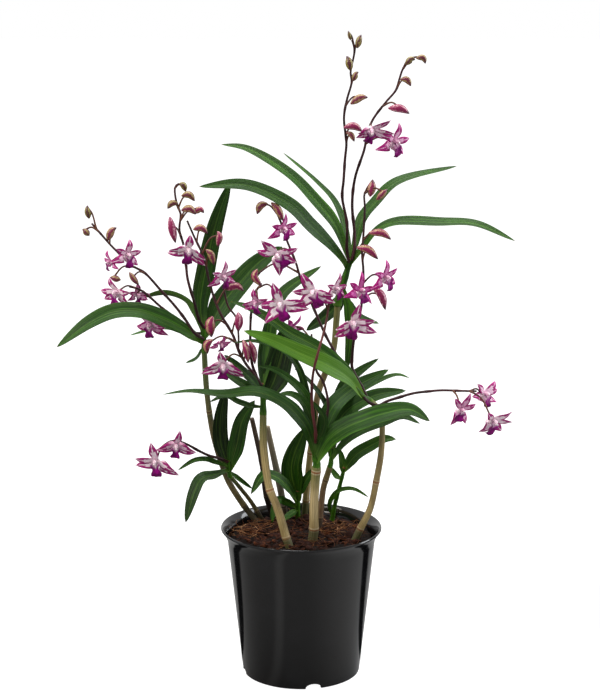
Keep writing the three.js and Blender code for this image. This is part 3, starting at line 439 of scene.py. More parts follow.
def caneMaterial(name, shades):
    material, tree = newMaterial(name)
    u, v = acrossAndAlong(tree)
    mark = attribute(tree, "mark")  # 1 on a ring, and fading beside it
    ribs = stripes(tree, u, 13, times(tree, speckle(tree, 60, stretch=(1, 1, 0.2)), 5.0))
    cloud = speckle(tree, 90, 5, stretch=(1, 1, 0.25))
    skin = mixColour(tree, step(tree, cloud, 0.4, 0.72), shades["base"], shades["streakAndPaintedEdgeShade"])
    skin = tinted(tree, skin, step(tree, ribs, 0.2, 1.0), 0.4, shades["streakAndPaintedEdgeShade"])
    skin = mixColour(tree, step(tree, streaks(tree, 16, 4, 4), 0.48, 0.8), skin, shades["streakAndPaintedEdgeShade"])
    # painted shade: each cane darkens to its streak colour towards its outline, where it turns away from view
    paintedEdgeShade = addNode(tree, "ShaderNodeLayerWeight", {"Blend": 0.5}, "Facing")
    skin = tinted(tree, skin, step(tree, paintedEdgeShade, 0.25, 0.85), 0.8, shades["streakAndPaintedEdgeShade"])
    green = step(tree, calc(tree, "MULTIPLY_ADD", cloud, 0.35, v), 0.8, 1.15)
    skin = mixColour(tree, green, skin, shades["top"])
    skin = tinted(tree, skin, step(tree, mark, 0.04, 0.5), 0.5, shades["ring"])
    pale = calc(tree, "SUBTRACT", step(tree, mark, 0.16, 0.26), step(tree, mark, 0.4, 0.5))
    skin = tinted(tree, skin, pale, 0.4, shades["pale"])
    skin = mixColour(tree, step(tree, mark, 0.62, 0.9), skin, shades["ring"])
    skin = tinted(tree, skin, attribute(tree, "tone"), 0.85, shades["foot"])
    rough = calc(tree, "MULTIPLY_ADD", cloud, 0.3, 0.42)
    relief = calc(tree, "MULTIPLY_ADD", ribs, 0.5, cloud)
    return coated(material, {"Base Color": skin, "Roughness": rough}, relief, 0.5, 0.0006)


caneMaterials = {kind: caneMaterial(kind + "Cane", shades) for kind, shades in caneShades.items()}


def rooted(path):  # the same path, begun lower, inside the mix
    foot, second = np.array(path[0]), np.array(path[1])
    return [tuple(foot + unit(foot - second) * caneLook["depth"])] + path


def makeCane(key, cane):
    path = rooted(cane["path"])
    length = pathLength(path)
    reach = np.linspace(0, length, int(length / caneLook["rowEvery"]))
    girth = np.interp(reach, [0, length], cane["radius"])
    mark = np.zeros(len(reach))
    for share in cane["rings"]:
        near = (reach - length * share) / caneLook["ringWidth"]
        girth = girth * (1 + caneLook["swelling"] * (hump(near) + 0.7 * hump(near, caneLook["collar"])))
        mark = mark + 0.7 * hump(near) + 0.35 * hump(near, caneLook["blush"])
    girth = girth * (1 + caneLook["waver"] * np.sin(reach / caneLook["waverLength"] + length * 90))
    below = 1 / (1 + np.exp((reach - length * cane["rings"][0]) / caneLook["footEdge"]))
    name, kind = nodeName("cane", key), cane["kind"]
    skin = strand(curvePoints(path, len(reach)), girth, below, mark)
    finished(stems(name + "_fine", [skin], caneMaterials[kind], caneLook["sides"]), caneSlots[kind], name)


for key, cane in canes.items():
    makeCane(key, cane)
print("canes", len(canes))


# leaves and the green crowns that carry them

leafLook = {
    "section": {
        "sides": 20, "thickness": 0.11, "fold": 0.2, "wave": 0.045, "waveLength": 0.011, "groove": 0.035},
    "rowEvery": 0.0028,
    "leastRows": 18,
    "clasp": (2.6, 0.07),  # how much tighter a leaf folds at its foot, and over what share of it
}
crownLook = {
    "rowEvery": 0.0012,
    "leastRows": 12,
    "sides": 16,
    "ripple": 0.05,
    "rippleLength": 0.0018,
    "tone": 0.35,
    "tipOverlap": 0.003,  # how far a crown goes on straight from its cane's tip
}

foliage = {  # a leaf is its width, the way its face looks, its tone, its path, and its twist if it has one
    "left": {"cane": "left", "radius": (0.0023, 0.0015), "kind": "green",
        "crown": [(-0.077, -0.002, 0.278), (-0.077, -0.002, 0.287)],
        "leaves": [
            (0.016, (0, -0.7, 0.7), 0.15, [
                (-0.077, -0.002, 0.273), (-0.092, -0.01, 0.286), (-0.11, -0.018, 0.297),
                (-0.126, -0.025, 0.304), (-0.145, -0.032, 0.305), (-0.163, -0.038, 0.298),
                (-0.189, -0.042, 0.279)]),
            (0.0055, (0, -0.5, 0.85), 0.35, [
                (-0.077, 0, 0.273), (-0.086, 0.006, 0.275), (-0.098, 0.012, 0.281), (-0.112, 0.018, 0.282),
                (-0.139, 0.026, 0.274)]),
            (0.009, (0, 0.75, 0.65), 0.2, [
                (-0.077, 0, 0.278), (-0.086, 0.014, 0.296), (-0.093, 0.02, 0.304), (-0.11, 0.03, 0.308),
                (-0.13, 0.035, 0.303)]),
            (0.0155, (0.2, -0.95, 0.2), -0.25, [
                (-0.077, 0, 0.28), (-0.08, 0.006, 0.303), (-0.076, 0.012, 0.33), (-0.068, 0.016, 0.366),
                (-0.056, 0.018, 0.4)]),
            (0.02, (-0.2, -0.9, 0.35), 0, [
                (-0.077, 0, 0.278), (-0.063, 0.012, 0.302), (-0.049, 0.022, 0.318), (-0.034, 0.03, 0.333),
                (-0.015, 0.036, 0.345)]),
            (0.005, (0, -0.6, 0.8), 0.2, [
                (-0.077, 0, 0.271), (-0.084, 0.008, 0.259), (-0.093, 0.014, 0.254)]),
        ]},
    "lowLeft": {"cane": "thin", "radius": (0.0018, 0.0013), "kind": "green",
        "crown": [(-0.058, 0.008, 0.167), (-0.059, 0.008, 0.174)],
        "leaves": [
            (0.013, (-0.5, -0.7, 0.5), -0.5, [
                (-0.058, 0.008, 0.166), (-0.071, -0.006, 0.166), (-0.08, -0.014, 0.165),
                (-0.085, -0.02, 0.156), (-0.092, -0.027, 0.133)]),
            (0.0046, (0, -0.85, 0.5), 0.1, [
                (-0.058, 0.008, 0.169), (-0.071, 0.004, 0.175), (-0.077, 0, 0.178), (-0.086, -0.004, 0.178),
                (-0.099, -0.009, 0.171)]),
            (0.013, (0.3, -0.95, 0), -0.9, [
                (-0.059, 0.009, 0.168), (-0.065, 0.009, 0.189), (-0.065, 0.004, 0.211),
                (-0.06, -0.002, 0.237)]),
            (0.014, (-0.3, -0.95, 0), -0.3, [
                (-0.058, 0.009, 0.166), (-0.052, 0.006, 0.188), (-0.047, 0.002, 0.21),
                (-0.037, -0.001, 0.227)]),
            (0.0041, (0, -0.85, 0.5), 0.2, [
                (-0.058, 0.009, 0.165), (-0.048, 0.018, 0.154), (-0.04, 0.024, 0.146)]),
        ]},
    "centre": {"cane": "tanFront", "radius": (0.0029, 0.0017), "kind": "green",
        "crown": [(-0.03, -0.024, 0.233), (-0.031, -0.024, 0.246)],
        "leaves": [
            (0.0065, (0.8, -0.6, 0), -0.3, [
                (-0.031, -0.024, 0.241), (-0.033, -0.018, 0.268), (-0.028, -0.012, 0.295)]),
            (0.022, (-0.15, -0.97, 0.1), -0.7, [
                (-0.031, -0.024, 0.234), (-0.023, -0.018, 0.243), (-0.017, -0.012, 0.261),
                (-0.011, -0.008, 0.29)]),
            (0.012, (-0.3, -0.8, 0.5), 0.1, [
                (-0.031, -0.023, 0.241), (-0.026, -0.006, 0.269), (-0.022, 0.001, 0.296),
                (-0.014, 0.004, 0.313), (0.016, 0.008, 0.334)]),
            (0.006, (0, -0.6, 0.8), -0.3, [
                (-0.03, -0.025, 0.227), (-0.04, -0.028, 0.229), (-0.05, -0.03, 0.233),
                (-0.059, -0.032, 0.238), (-0.072, -0.032, 0.233)]),
            (0.009, (0.3, -0.7, 0.6), -0.2, [
                (-0.031, -0.025, 0.24), (-0.038, -0.032, 0.25), (-0.047, -0.036, 0.26),
                (-0.06, -0.036, 0.272)]),
            (0.008, (0.2, -0.7, 0.6), -0.3, [
                (-0.031, -0.024, 0.238), (-0.039, -0.022, 0.241), (-0.048, -0.02, 0.246),
                (-0.061, -0.016, 0.253)]),
        ]},
    "front": {"cane": "thickFront", "radius": (0.0032, 0.0019), "kind": "green",
        "crown": [(0.011, -0.035, 0.189), (0.011, -0.035, 0.201)],
        "leaves": [
            (0.014, (0, -0.7, 0.7), -0.1, [
                (0.011, -0.036, 0.19), (0.007, -0.042, 0.207), (0.002, -0.046, 0.219),
                (-0.013, -0.05, 0.236), (-0.034, -0.053, 0.246), (-0.059, -0.048, 0.243),
                (-0.087, -0.038, 0.243), (-0.109, -0.032, 0.239)], 40),
            (0.008, (0, -0.7, 0.7), 0, [
                (0.011, -0.035, 0.198), (0.006, -0.033, 0.231), (-0.001, -0.033, 0.244),
                (-0.02, -0.034, 0.259), (-0.034, -0.035, 0.263)]),
            (0.008, (0, -0.7, 0.7), -0.1, [
                (0.011, -0.036, 0.198), (0.003, -0.04, 0.233), (-0.008, -0.042, 0.242),
                (-0.02, -0.042, 0.241)]),
            (0.006, (0, -0.9, 0.4), -0.3, [
                (0.011, -0.037, 0.196), (0.018, -0.044, 0.222), (0.008, -0.046, 0.238)]),
            (0.018, (0, -0.7, 0.7), 0.1, [
                (0.012, -0.036, 0.186), (0.022, -0.044, 0.206), (0.035, -0.049, 0.217),
                (0.047, -0.052, 0.223), (0.061, -0.052, 0.228), (0.084, -0.048, 0.231),
                (0.1, -0.045, 0.221)]),
            (0.014, (0, -0.8, 0.6), 0, [
                (0.011, -0.034, 0.193), (0.015, -0.031, 0.203), (0.023, -0.023, 0.224),
                (0.038, -0.008, 0.236), (0.07, 0.004, 0.251)]),
            (0.006, (0, -0.7, 0.7), -0.2, [
                (0.011, -0.034, 0.195), (0.006, -0.028, 0.23), (-0.003, -0.028, 0.261),
                (-0.014, -0.03, 0.274), (-0.035, -0.033, 0.282), (-0.053, -0.034, 0.281)]),
        ]},
    "brown": {"cane": "brown", "radius": (0.0022, 0.0016), "kind": "green",
        "crown": [(0.024, -0.006, 0.18), (0.025, -0.006, 0.189)],
        "leaves": [
            (0.005, (0, -0.7, 0.7), -0.4, [
                (0.024, -0.006, 0.185), (0.023, -0.009, 0.206), (0.02, -0.012, 0.225),
                (0.003, -0.021, 0.251), (-0.006, -0.023, 0.258)]),
            (0.011, (0, -0.6, 0.8), -0.1, [
                (0.024, -0.007, 0.178), (0.033, -0.016, 0.194), (0.047, -0.027, 0.208),
                (0.065, -0.036, 0.218), (0.079, -0.038, 0.223), (0.093, -0.038, 0.217)]),
            (0.014, (0, -0.75, 0.65), 0.05, [
                (0.024, -0.006, 0.182), (0.025, -0.008, 0.197), (0.035, -0.013, 0.22),
                (0.058, -0.015, 0.234), (0.083, -0.014, 0.238)]),
            (0.007, (0, -0.6, 0.8), 0.2, [
                (0.024, -0.005, 0.184), (0.028, 0.006, 0.209), (0.041, 0.014, 0.226), (0.062, 0.019, 0.238),
                (0.078, 0.02, 0.243), (0.088, 0.02, 0.24)]),
            (0.01, (-0.2, -0.85, 0.4), -0.1, [
                (0.025, -0.005, 0.187), (0.028, 0.012, 0.215), (0.035, 0.02, 0.235), (0.046, 0.024, 0.244),
                (0.063, 0.027, 0.255)]),
        ]},
    "middleShoot": {"cane": None, "radius": (0.0024, 0.002), "kind": "bright",
        "crown": [(-0.003, 0.04, 0.117), (-0.003, 0.038, 0.128), (-0.003, 0.036, 0.141)],
        "leaves": [
            (0.018, (0.1, -1, 0.1), -0.6, [
                (-0.003, 0.037, 0.132), (-0.008, 0.03, 0.164), (0.003, 0.026, 0.197)]),
            (0.008, (-0.3, -0.9, 0.2), -0.3, [
                (-0.003, 0.037, 0.135), (0.003, 0.033, 0.149), (0.011, 0.03, 0.162)]),
            (0.01, (0, -0.7, 0.7), -0.2, [
                (-0.003, 0.037, 0.132), (-0.01, 0.028, 0.145), (-0.02, 0.019, 0.157), (-0.03, 0.013, 0.161),
                (-0.041, 0.008, 0.146)]),
            (0.007, (-0.3, -0.9, 0.2), -0.1, [
                (-0.003, 0.038, 0.126), (-0.012, 0.03, 0.133), (-0.018, 0.023, 0.137),
                (-0.022, 0.018, 0.131), (-0.024, 0.015, 0.119)]),
            (0.006, (0, -0.7, 0.7), 0.1, [
                (-0.003, 0.038, 0.124), (-0.01, 0.031, 0.121), (-0.015, 0.025, 0.118)]),
        ]},
    "rightShoot": {"cane": None, "radius": (0.002, 0.0016), "kind": "bright",
        "crown": [(0.025, 0.027, 0.115), (0.027, 0.022, 0.13), (0.031, 0.016, 0.149), (0.035, 0.01, 0.168)],
        "leaves": [
            (0.012, (-0.1, -0.75, 0.65), -0.1, [
                (0.034, 0.011, 0.164), (0.044, 0.004, 0.18), (0.057, -0.002, 0.19), (0.067, -0.005, 0.196),
                (0.076, -0.006, 0.196)]),
            (0.006, (0.2, -0.95, 0.1), 0, [
                (0.034, 0.011, 0.162), (0.033, 0.012, 0.174), (0.031, 0.013, 0.183)]),
            (0.005, (0.2, -0.9, 0.3), 0.1, [
                (0.032, 0.013, 0.157), (0.028, 0.016, 0.16), (0.024, 0.018, 0.166)]),
            (0.0041, (0, -0.85, 0.5), 0.2, [
                (0.026, 0.025, 0.121), (0.023, 0.02, 0.133), (0.029, 0.012, 0.147), (0.037, 0.008, 0.151),
                (0.044, 0.005, 0.151), (0.055, 0.002, 0.145)]),
        ]},
    "right": {"cane": "curvedRight", "radius": (0.0023, 0.0016), "kind": "bright",
        "crown": [(0.051, -0.029, 0.235), (0.047, -0.032, 0.239), (0.042, -0.036, 0.246)],
        "leaves": [
            (0.016, (0.2, -0.75, 0.6), 0.9, [
                (0.047, -0.032, 0.238), (0.038, -0.041, 0.253), (0.022, -0.048, 0.265),
                (-0.001, -0.054, 0.277), (-0.02, -0.058, 0.287), (-0.044, -0.06, 0.296)]),
            (0.011, (0.2, -0.75, 0.6), -0.5, [
                (0.046, -0.032, 0.24), (0.038, -0.035, 0.256), (0.028, -0.036, 0.266), (0.01, -0.036, 0.279),
                (-0.009, -0.035, 0.289), (-0.022, -0.034, 0.298), (-0.041, -0.029, 0.308),
                (-0.055, -0.026, 0.312)]),
        ]},
    "top": {"cane": "tall", "radius": (0.0036, 0.0022), "kind": "green",
        "crown": [(0.032, 0.012, 0.314), (0.036, 0.01, 0.329), (0.039, 0.01, 0.339)],
        "leaves": [
            (0.014, (0.3, -0.7, 0.6), 0, [
                (0.036, 0.01, 0.33), (0.033, 0.006, 0.338), (0.023, -0.002, 0.352), (0.007, -0.01, 0.369),
                (-0.009, -0.018, 0.386), (-0.042, -0.029, 0.403), (-0.078, -0.036, 0.403)]),
            (0.012, (0.35, -0.65, 0.65), 0.1, [
                (0.038, 0.011, 0.336), (0.027, 0.018, 0.365), (0.011, 0.024, 0.384), (-0.009, 0.03, 0.404),
                (-0.044, 0.036, 0.424), (-0.064, 0.038, 0.427)]),
            (0.008, (0.5, -0.4, 0.7), 0.1, [
                (0.038, 0.011, 0.337), (0.037, 0.019, 0.353), (0.027, 0.032, 0.381), (0.013, 0.04, 0.396),
                (-0.015, 0.052, 0.419)]),
            (0.011, (-0.2, -0.5, 0.8), 0.15, [
                (0.039, 0.011, 0.337), (0.043, 0.015, 0.35), (0.048, 0.021, 0.369), (0.059, 0.027, 0.382),
                (0.075, 0.033, 0.397), (0.125, 0.044, 0.409)]),
            (0.012, (0, -0.5, 0.85), 0.1, [
                (0.038, 0.01, 0.333), (0.05, 0.005, 0.351), (0.06, -0.001, 0.364), (0.073, -0.007, 0.371),
                (0.107, -0.02, 0.373), (0.134, -0.028, 0.373), (0.164, -0.036, 0.361)]),
            (0.012, (0, -0.8, 0.6), -0.2, [
                (0.033, 0.014, 0.313), (0.029, 0.022, 0.3), (0.019, 0.027, 0.289), (0.004, 0.031, 0.277)]),
            (0.007, (0, -0.8, 0.6), 0.1, [
                (0.032, 0.012, 0.312), (0.041, 0.018, 0.297), (0.047, 0.023, 0.29), (0.063, 0.03, 0.283)]),
            (0.009, (0, -1, 0.1), 0.3, [
                (0.033, 0.011, 0.316), (0.038, 0.007, 0.299), (0.039, 0.005, 0.276), (0.036, 0.003, 0.25)]),
        ]},
}

# dark, middle and light green, mixed along the streaks, are partly the leaves' own colour and partly painted
# sheen
leafShades = {
    "green": { "dark": "#081a02", "middle": "#1a3d08", "light": "#3f7410", "under": "#47672a",
        "rib": "#6b9038", "dry": "#6b4a24"},
    "bright": { "dark": "#123405", "middle": "#234b0a", "light": "#426e13", "under": "#567f2c",
        "rib": "#86ac3f", "dry": "#6b4a24"},
}


def leafMaterial(name, shades):
    material, tree = newMaterial(name)
    u, v = acrossAndAlong(tree)
    under = attribute(tree, "under")
    tone = calc(tree, "MULTIPLY_ADD", speckle(tree, 28), 0.7, plus(tree, attribute(tree, "tone"), -0.35))
    # broad lengthwise streaks from dark to light green: partly the leaf's own streaked tone, partly painted
    # sheen
    tone = calc(tree, "MULTIPLY_ADD", streaks(tree, 7, 1.6, 4), 2.4, plus(tree, tone, -1.2))
    skin = mixColour(tree, step(tree, tone, -1.0, 0.1), shades["dark"], shades["middle"])
    skin = mixColour(tree, step(tree, tone, 0.0, 1.0), skin, shades["light"])
    veins = streaks(tree, 42, 2.5, 2)
    skin = tinted(tree, skin, step(tree, veins, 0.5, 0.7), 0.22, shades["rib"])
    rib = opposite(tree, step(tree, offMiddle(tree, u), 0.02, 0.09))
    skin = tinted(tree, skin, rib, 0.22, shades["rib"])
    skin = tinted(tree, skin, under, 0.55, shades["under"])
    skin = tinted(tree, skin, opposite(tree, step(tree, v, 0.0, 0.16)), 0.35, shades["rib"])
    dry = step(tree, calc(tree, "MULTIPLY_ADD", speckle(tree, 300), 0.012, v), 0.992, 1.004)
    skin = mixColour(tree, dry, skin, shades["dry"])
    rough = calc(tree, "MULTIPLY_ADD", under, 0.2, calc(tree, "MULTIPLY_ADD", speckle(tree, 90), 0.16, 0.36))
    relief = calc(tree, "MULTIPLY_ADD", veins, 1.5, speckle(tree, 420))
    feeds = {"Base Color": skin, "Roughness": rough, "Specular IOR Level": 0.17}
    return coated(material, feeds, relief, 0.3, 0.0006)


leafMaterials = {kind: leafMaterial(kind + "Leaf", shades) for kind, shades in leafShades.items()}


def leafStrand(width, face, tone, path, twist=0):
    rows = max(leafLook["leastRows"], int(pathLength(path) / leafLook["rowEvery"]))
    share = np.linspace(0, 1, rows)
    half = width / 2 * np.minimum(1, 0.3 + 2.4 * share) * np.maximum(0, 1 - share ** 4) ** 0.7
    tightness, overShare = leafLook["clasp"]
    clasp = tightness * np.exp(-share / overShare)
    return strand(curvePoints(path, rows), half, tone, clasp, face, twist, 0.02)


def crownPath(tuft):
    if tuft["cane"] is None:
        return rooted(tuft["crown"])
    before, tip = curvePoints(canes[tuft["cane"]]["path"], 60)[-2:]
    return [tuple(tip), tuple(tip + unit(tip - before) * crownLook["tipOverlap"])] + tuft["crown"]


def makeFoliage(key, tuft):
    name, material = nodeName("foliage", key), leafMaterials[tuft["kind"]]
    path = crownPath(tuft)
    length = pathLength(path)
    rows = max(crownLook["leastRows"], int(length / crownLook["rowEvery"]))
    reach = np.linspace(0, length, rows)
    girth = np.interp(np.linspace(0, 1, rows), [0, 1], tuft["radius"])
    girth = girth * (1 + crownLook["ripple"] * np.sin(reach / crownLook["rippleLength"]))
    stem = strand(curvePoints(path, rows), girth, crownLook["tone"])
    crown = stems(name + "_crown", [stem], material, crownLook["sides"])
    strands = [leafStrand(*leaf) for leaf in tuft["leaves"]]
    leaves = blades(name + "_leaves", strands, material, leafLook["section"])
    finished(joined(name + "_fine", [leaves, crown]), tuft["kind"] + "_leaf", name)


for key, tuft in foliage.items():
    makeFoliage(key, tuft)
print("leaf tufts", len(foliage))


# flower stalks and their buds

stalkLook = {
    "radius": (0.00125, 0.0008),
    "sides": 10,
    "rowEvery": 0.0025,
    "leastRows": 20,
    "jointEvery": 9,  # rows
    "jointSwelling": 0.25,
    "branchRadius": 0.0008,
    "branchRows": 24,
}
sideStalkLook = {"radius": 0.00068, "rows": 14, "sides": 8, "swollenRoot": 0.5, "swollenEnd": 0.35}
budLook = {
    "rows": 22,
    "sides": 14,
    "outline": [0.24, 0.72, 1, 1.05, 0.92, 0.6, 0.16],
    "outward": 0.12,  # how far its back bulges from the stalk, and up, as shares of its distance and width
    "upward": 0.35,
    "rootDrop": 0.004,
    "stalkArch": 0.25,
}

stalks = {  # a bud is the place of its chin and of its tip, its width and its tone
    "lowLeft": {"path": [
        (-0.059, 0.008, 0.173), (-0.065, 0.001, 0.178), (-0.074, -0.004, 0.182), (-0.083, -0.006, 0.187),
        (-0.091, -0.007, 0.192), (-0.1, -0.01, 0.196), (-0.106, -0.012, 0.195), (-0.113, -0.013, 0.19)]},
    "top": {"path": [
        (0.0377, 0.0084, 0.3368), (0.036, 0.007, 0.347), (0.036, 0.005, 0.368), (0.032, 0.002, 0.39),
        (0.033, 0.001, 0.403), (0.034, 0, 0.42), (0.035, -0.001, 0.432), (0.033, -0.002, 0.452),
        (0.035, -0.001, 0.465), (0.039, 0.001, 0.48), (0.038, 0.002, 0.486), (0.041, 0.003, 0.504),
        (0.039, 0.003, 0.511)],
        "buds": [
            ((0.038, 0.003, 0.511), (0.036, 0.003, 0.518), 0.0028, 0.05),
            ((0.043, 0.003, 0.505), (0.046, 0.003, 0.515), 0.0049, 0.1),
            ((0.038, 0.002, 0.488), (0.035, 0.002, 0.499), 0.0057, 0.1),
            ((0.04, 0.001, 0.48), (0.044, 0.001, 0.487), 0.0045, 0.2),
            ((0.038, -0.006, 0.463), (0.051, -0.006, 0.468), 0.0057, 0.3),
            ((0.033, -0.007, 0.445), (0.047, -0.007, 0.442), 0.0057, 0.75),
            ((0.035, -0.005, 0.441), (0.041, -0.005, 0.434), 0.0041, 0.3)]},
    "topRight": {"path": [
        (0.04, 0.0082, 0.339), (0.042, 0.009, 0.348), (0.042, 0.01, 0.36), (0.04, 0.008, 0.383),
        (0.042, 0.006, 0.404), (0.049, 0.002, 0.427), (0.051, 0, 0.438), (0.055, -0.002, 0.45),
        (0.065, -0.004, 0.464), (0.073, -0.006, 0.474), (0.075, -0.006, 0.481), (0.078, -0.006, 0.49),
        (0.081, -0.006, 0.494)],
        "buds": [
            ((0.08, -0.008, 0.493), (0.087, -0.008, 0.497), 0.0049, 0.1),
            ((0.088, -0.008, 0.498), (0.095, -0.008, 0.494), 0.0045, 0.2),
            ((0.076, -0.009, 0.482), (0.084, -0.009, 0.477), 0.0049, 0.25),
            ((0.067, -0.009, 0.46), (0.083, -0.009, 0.456), 0.0061, 0.8)]},
    "right": {"path": [
        (0.052, -0.0275, 0.235), (0.046, -0.022, 0.246), (0.04, -0.021, 0.258), (0.04, -0.024, 0.269),
        (0.041, -0.028, 0.282), (0.046, -0.029, 0.306), (0.048, -0.027, 0.335), (0.047, -0.025, 0.35),
        (0.048, -0.023, 0.364), (0.049, -0.021, 0.384), (0.049, -0.019, 0.396), (0.053, -0.018, 0.398)],
        "buds": [
            ((0.053, -0.018, 0.393), (0.055, -0.018, 0.406), 0.0065, 0.55),
            ((0.058, -0.022, 0.391), (0.066, -0.022, 0.399), 0.0049, 0.35),
            ((0.052, -0.027, 0.366), (0.069, -0.027, 0.361), 0.0057, 0.5),
            ((0.043, -0.029, 0.355), (0.059, -0.029, 0.346), 0.0061, 0.55),
            ((0.055, -0.033, 0.325), (0.065, -0.033, 0.307), 0.0061, 0.85)]},
    "centre": {"path": [
        (0.048, -0.0295, 0.238), (0.042, -0.026, 0.249), (0.032, -0.024, 0.262), (0.022, -0.024, 0.279),
        (0.018, -0.024, 0.287), (0.01, -0.027, 0.306), (-0.001, -0.027, 0.332), (-0.004, -0.026, 0.342),
        (-0.012, -0.024, 0.362), (-0.016, -0.022, 0.374), (-0.021, -0.021, 0.385)],
        "buds": [
            ((-0.026, -0.022, 0.388), (-0.034, -0.022, 0.38), 0.0057, 0.3),
            ((-0.023, -0.024, 0.389), (-0.014, -0.024, 0.375), 0.0057, 0.35),
            ((-0.034, -0.03, 0.338), (-0.031, -0.03, 0.325), 0.0053, 0.5)]},
    "hidden": {"path": [
        (0.012, -0.034, 0.203), (0.019, -0.034, 0.218), (0.021, -0.033, 0.232), (0.017, -0.028, 0.249),
        (0.012, -0.024, 0.256), (0.009, -0.02, 0.272), (0.008, -0.021, 0.285)]},
    "red": {"kind": "red", "path": [
        (0.011, -0.0402, 0.2026), (0.011, -0.049, 0.214), (0.009, -0.055, 0.229), (0.008, -0.059, 0.245),
        (0.009, -0.062, 0.263), (0.013, -0.061, 0.28), (0.017, -0.054, 0.293), (0.02, -0.046, 0.305),
        (0.021, -0.042, 0.314)]},
    "midLeft": {"path": [
        (-0.031, -0.0254, 0.2446), (-0.037, -0.027, 0.254), (-0.044, -0.028, 0.264), (-0.049, -0.028, 0.274),
        (-0.053, -0.027, 0.285), (-0.063, -0.023, 0.302), (-0.068, -0.02, 0.314), (-0.072, -0.016, 0.327),
        (-0.076, -0.012, 0.344), (-0.084, -0.008, 0.361), (-0.089, -0.005, 0.372)],
        "branch": [
            (-0.049, -0.028, 0.274), (-0.049, -0.024, 0.285), (-0.051, -0.019, 0.298),
            (-0.057, -0.016, 0.306), (-0.061, -0.013, 0.321)],
        "buds": [
            ((-0.084, -0.01, 0.366), (-0.073, -0.01, 0.363), 0.0053, 0.35),
            ((-0.065, -0.014, 0.365), (-0.065, -0.014, 0.353), 0.0049, 0.7),
            ((-0.074, -0.015, 0.351), (-0.068, -0.015, 0.339), 0.0053, 0.3),
            ((-0.059, -0.018, 0.32), (-0.045, -0.018, 0.319), 0.0053, 0.7),
            ((-0.049, -0.03, 0.304), (-0.049, -0.03, 0.289), 0.0065, 0.85),
            ((-0.069, -0.026, 0.3), (-0.07, -0.026, 0.284), 0.0077, 0.6),
            ((-0.069, -0.032, 0.283), (-0.073, -0.032, 0.272), 0.0057, 0.4),
            ((-0.045, -0.042, 0.285), (-0.041, -0.042, 0.267), 0.0053, 0.7),
            ((-0.04, -0.038, 0.283), (-0.036, -0.038, 0.265), 0.0049, 0.75)]},
    "upperLeft": {"path": [
        (-0.0765, -0.0025, 0.2859), (-0.08, -0.006, 0.292), (-0.084, -0.009, 0.308), (-0.089, -0.01, 0.327),
        (-0.09, -0.01, 0.337), (-0.092, -0.009, 0.354), (-0.095, -0.008, 0.365), (-0.094, -0.007, 0.378),
        (-0.096, -0.006, 0.383), (-0.098, -0.005, 0.391), (-0.098, -0.004, 0.399), (-0.095, -0.004, 0.401)],
        "buds": [
            ((-0.095, -0.004, 0.401), (-0.09, -0.004, 0.395), 0.0049, 0.05),
            ((-0.093, -0.007, 0.392), (-0.083, -0.007, 0.388), 0.0053, 0.2),
            ((-0.096, -0.007, 0.386), (-0.104, -0.007, 0.382), 0.0049, 0.2),
            ((-0.093, -0.01, 0.381), (-0.082, -0.01, 0.378), 0.0057, 0.3),
            ((-0.085, -0.002, 0.378), (-0.076, -0.002, 0.378), 0.0049, 0.6),
            ((-0.102, -0.012, 0.376), (-0.098, -0.012, 0.356), 0.0061, 0.85)]},
    "farLeft": {"path": [
        (-0.0773, -0.0026, 0.2773), (-0.084, -0.015, 0.285), (-0.091, -0.016, 0.296),
        (-0.099, -0.017, 0.307), (-0.109, -0.019, 0.319), (-0.122, -0.021, 0.334), (-0.132, -0.022, 0.34),
        (-0.139, -0.022, 0.347), (-0.148, -0.021, 0.356), (-0.155, -0.02, 0.364), (-0.162, -0.019, 0.372)],
        "buds": [
            ((-0.164, -0.019, 0.376), (-0.165, -0.019, 0.386), 0.0049, 0.05),
            ((-0.164, -0.021, 0.363), (-0.169, -0.021, 0.368), 0.0049, 0.2),
            ((-0.15, -0.02, 0.359), (-0.143, -0.02, 0.369), 0.0057, 0.3),
            ((-0.14, -0.026, 0.329), (-0.148, -0.026, 0.331), 0.0049, 0.3),
            ((-0.133, -0.026, 0.335), (-0.126, -0.026, 0.325), 0.0045, 0.3)]},
    "farLeftLow": {"path": [
        (-0.078, 0.001, 0.281), (-0.086, 0.004, 0.281), (-0.095, 0.002, 0.287), (-0.104, 0, 0.297),
        (-0.112, -0.002, 0.304), (-0.12, -0.004, 0.312), (-0.128, -0.005, 0.318), (-0.135, -0.006, 0.32)]},
    "inner": {"path": [
        (-0.032, -0.022, 0.245), (-0.036, -0.018, 0.252), (-0.039, -0.017, 0.262), (-0.04, -0.017, 0.281),
        (-0.039, -0.014, 0.303), (-0.036, -0.015, 0.317), (-0.031, -0.02, 0.325)]},
    "farRight": {"path": [
        (0.049, -0.032, 0.237), (0.054, -0.036, 0.233), (0.06, -0.035, 0.231), (0.067, -0.033, 0.234),
        (0.076, -0.033, 0.237), (0.088, -0.035, 0.241), (0.1, -0.037, 0.243), (0.109, -0.038, 0.244),
        (0.126, -0.04, 0.244), (0.136, -0.041, 0.244)]},
}

stalkShades = {"dark": ("#22100f", "#46262a"), "red": ("#421c1e", "#6c3532"), "side": ("#3a161b", "#6b4632")}
budShades = {  # from an olive bud to a magenta one
    "ground": ("#7f7639", "#a8875f", "#dfa6c0"),
    "stain": ("#4a2420", "#84104a"),
    "tip": "#45182a",
}


def stalkMaterial(name, dark, light):
    material, tree = newMaterial(name)
    patches = step(tree, speckle(tree, 70, stretch=(1, 1, 0.4)), 0.3, 0.75)
    skin = mixColour(tree, patches, dark, light)
    rough = calc(tree, "MULTIPLY_ADD", speckle(tree, 200), 0.2, 0.32)
    feeds = {"Base Color": skin, "Roughness": rough, "Specular IOR Level": 0.2}
    return coated(material, feeds, speckle(tree, 700), 0.15, 0.0003)


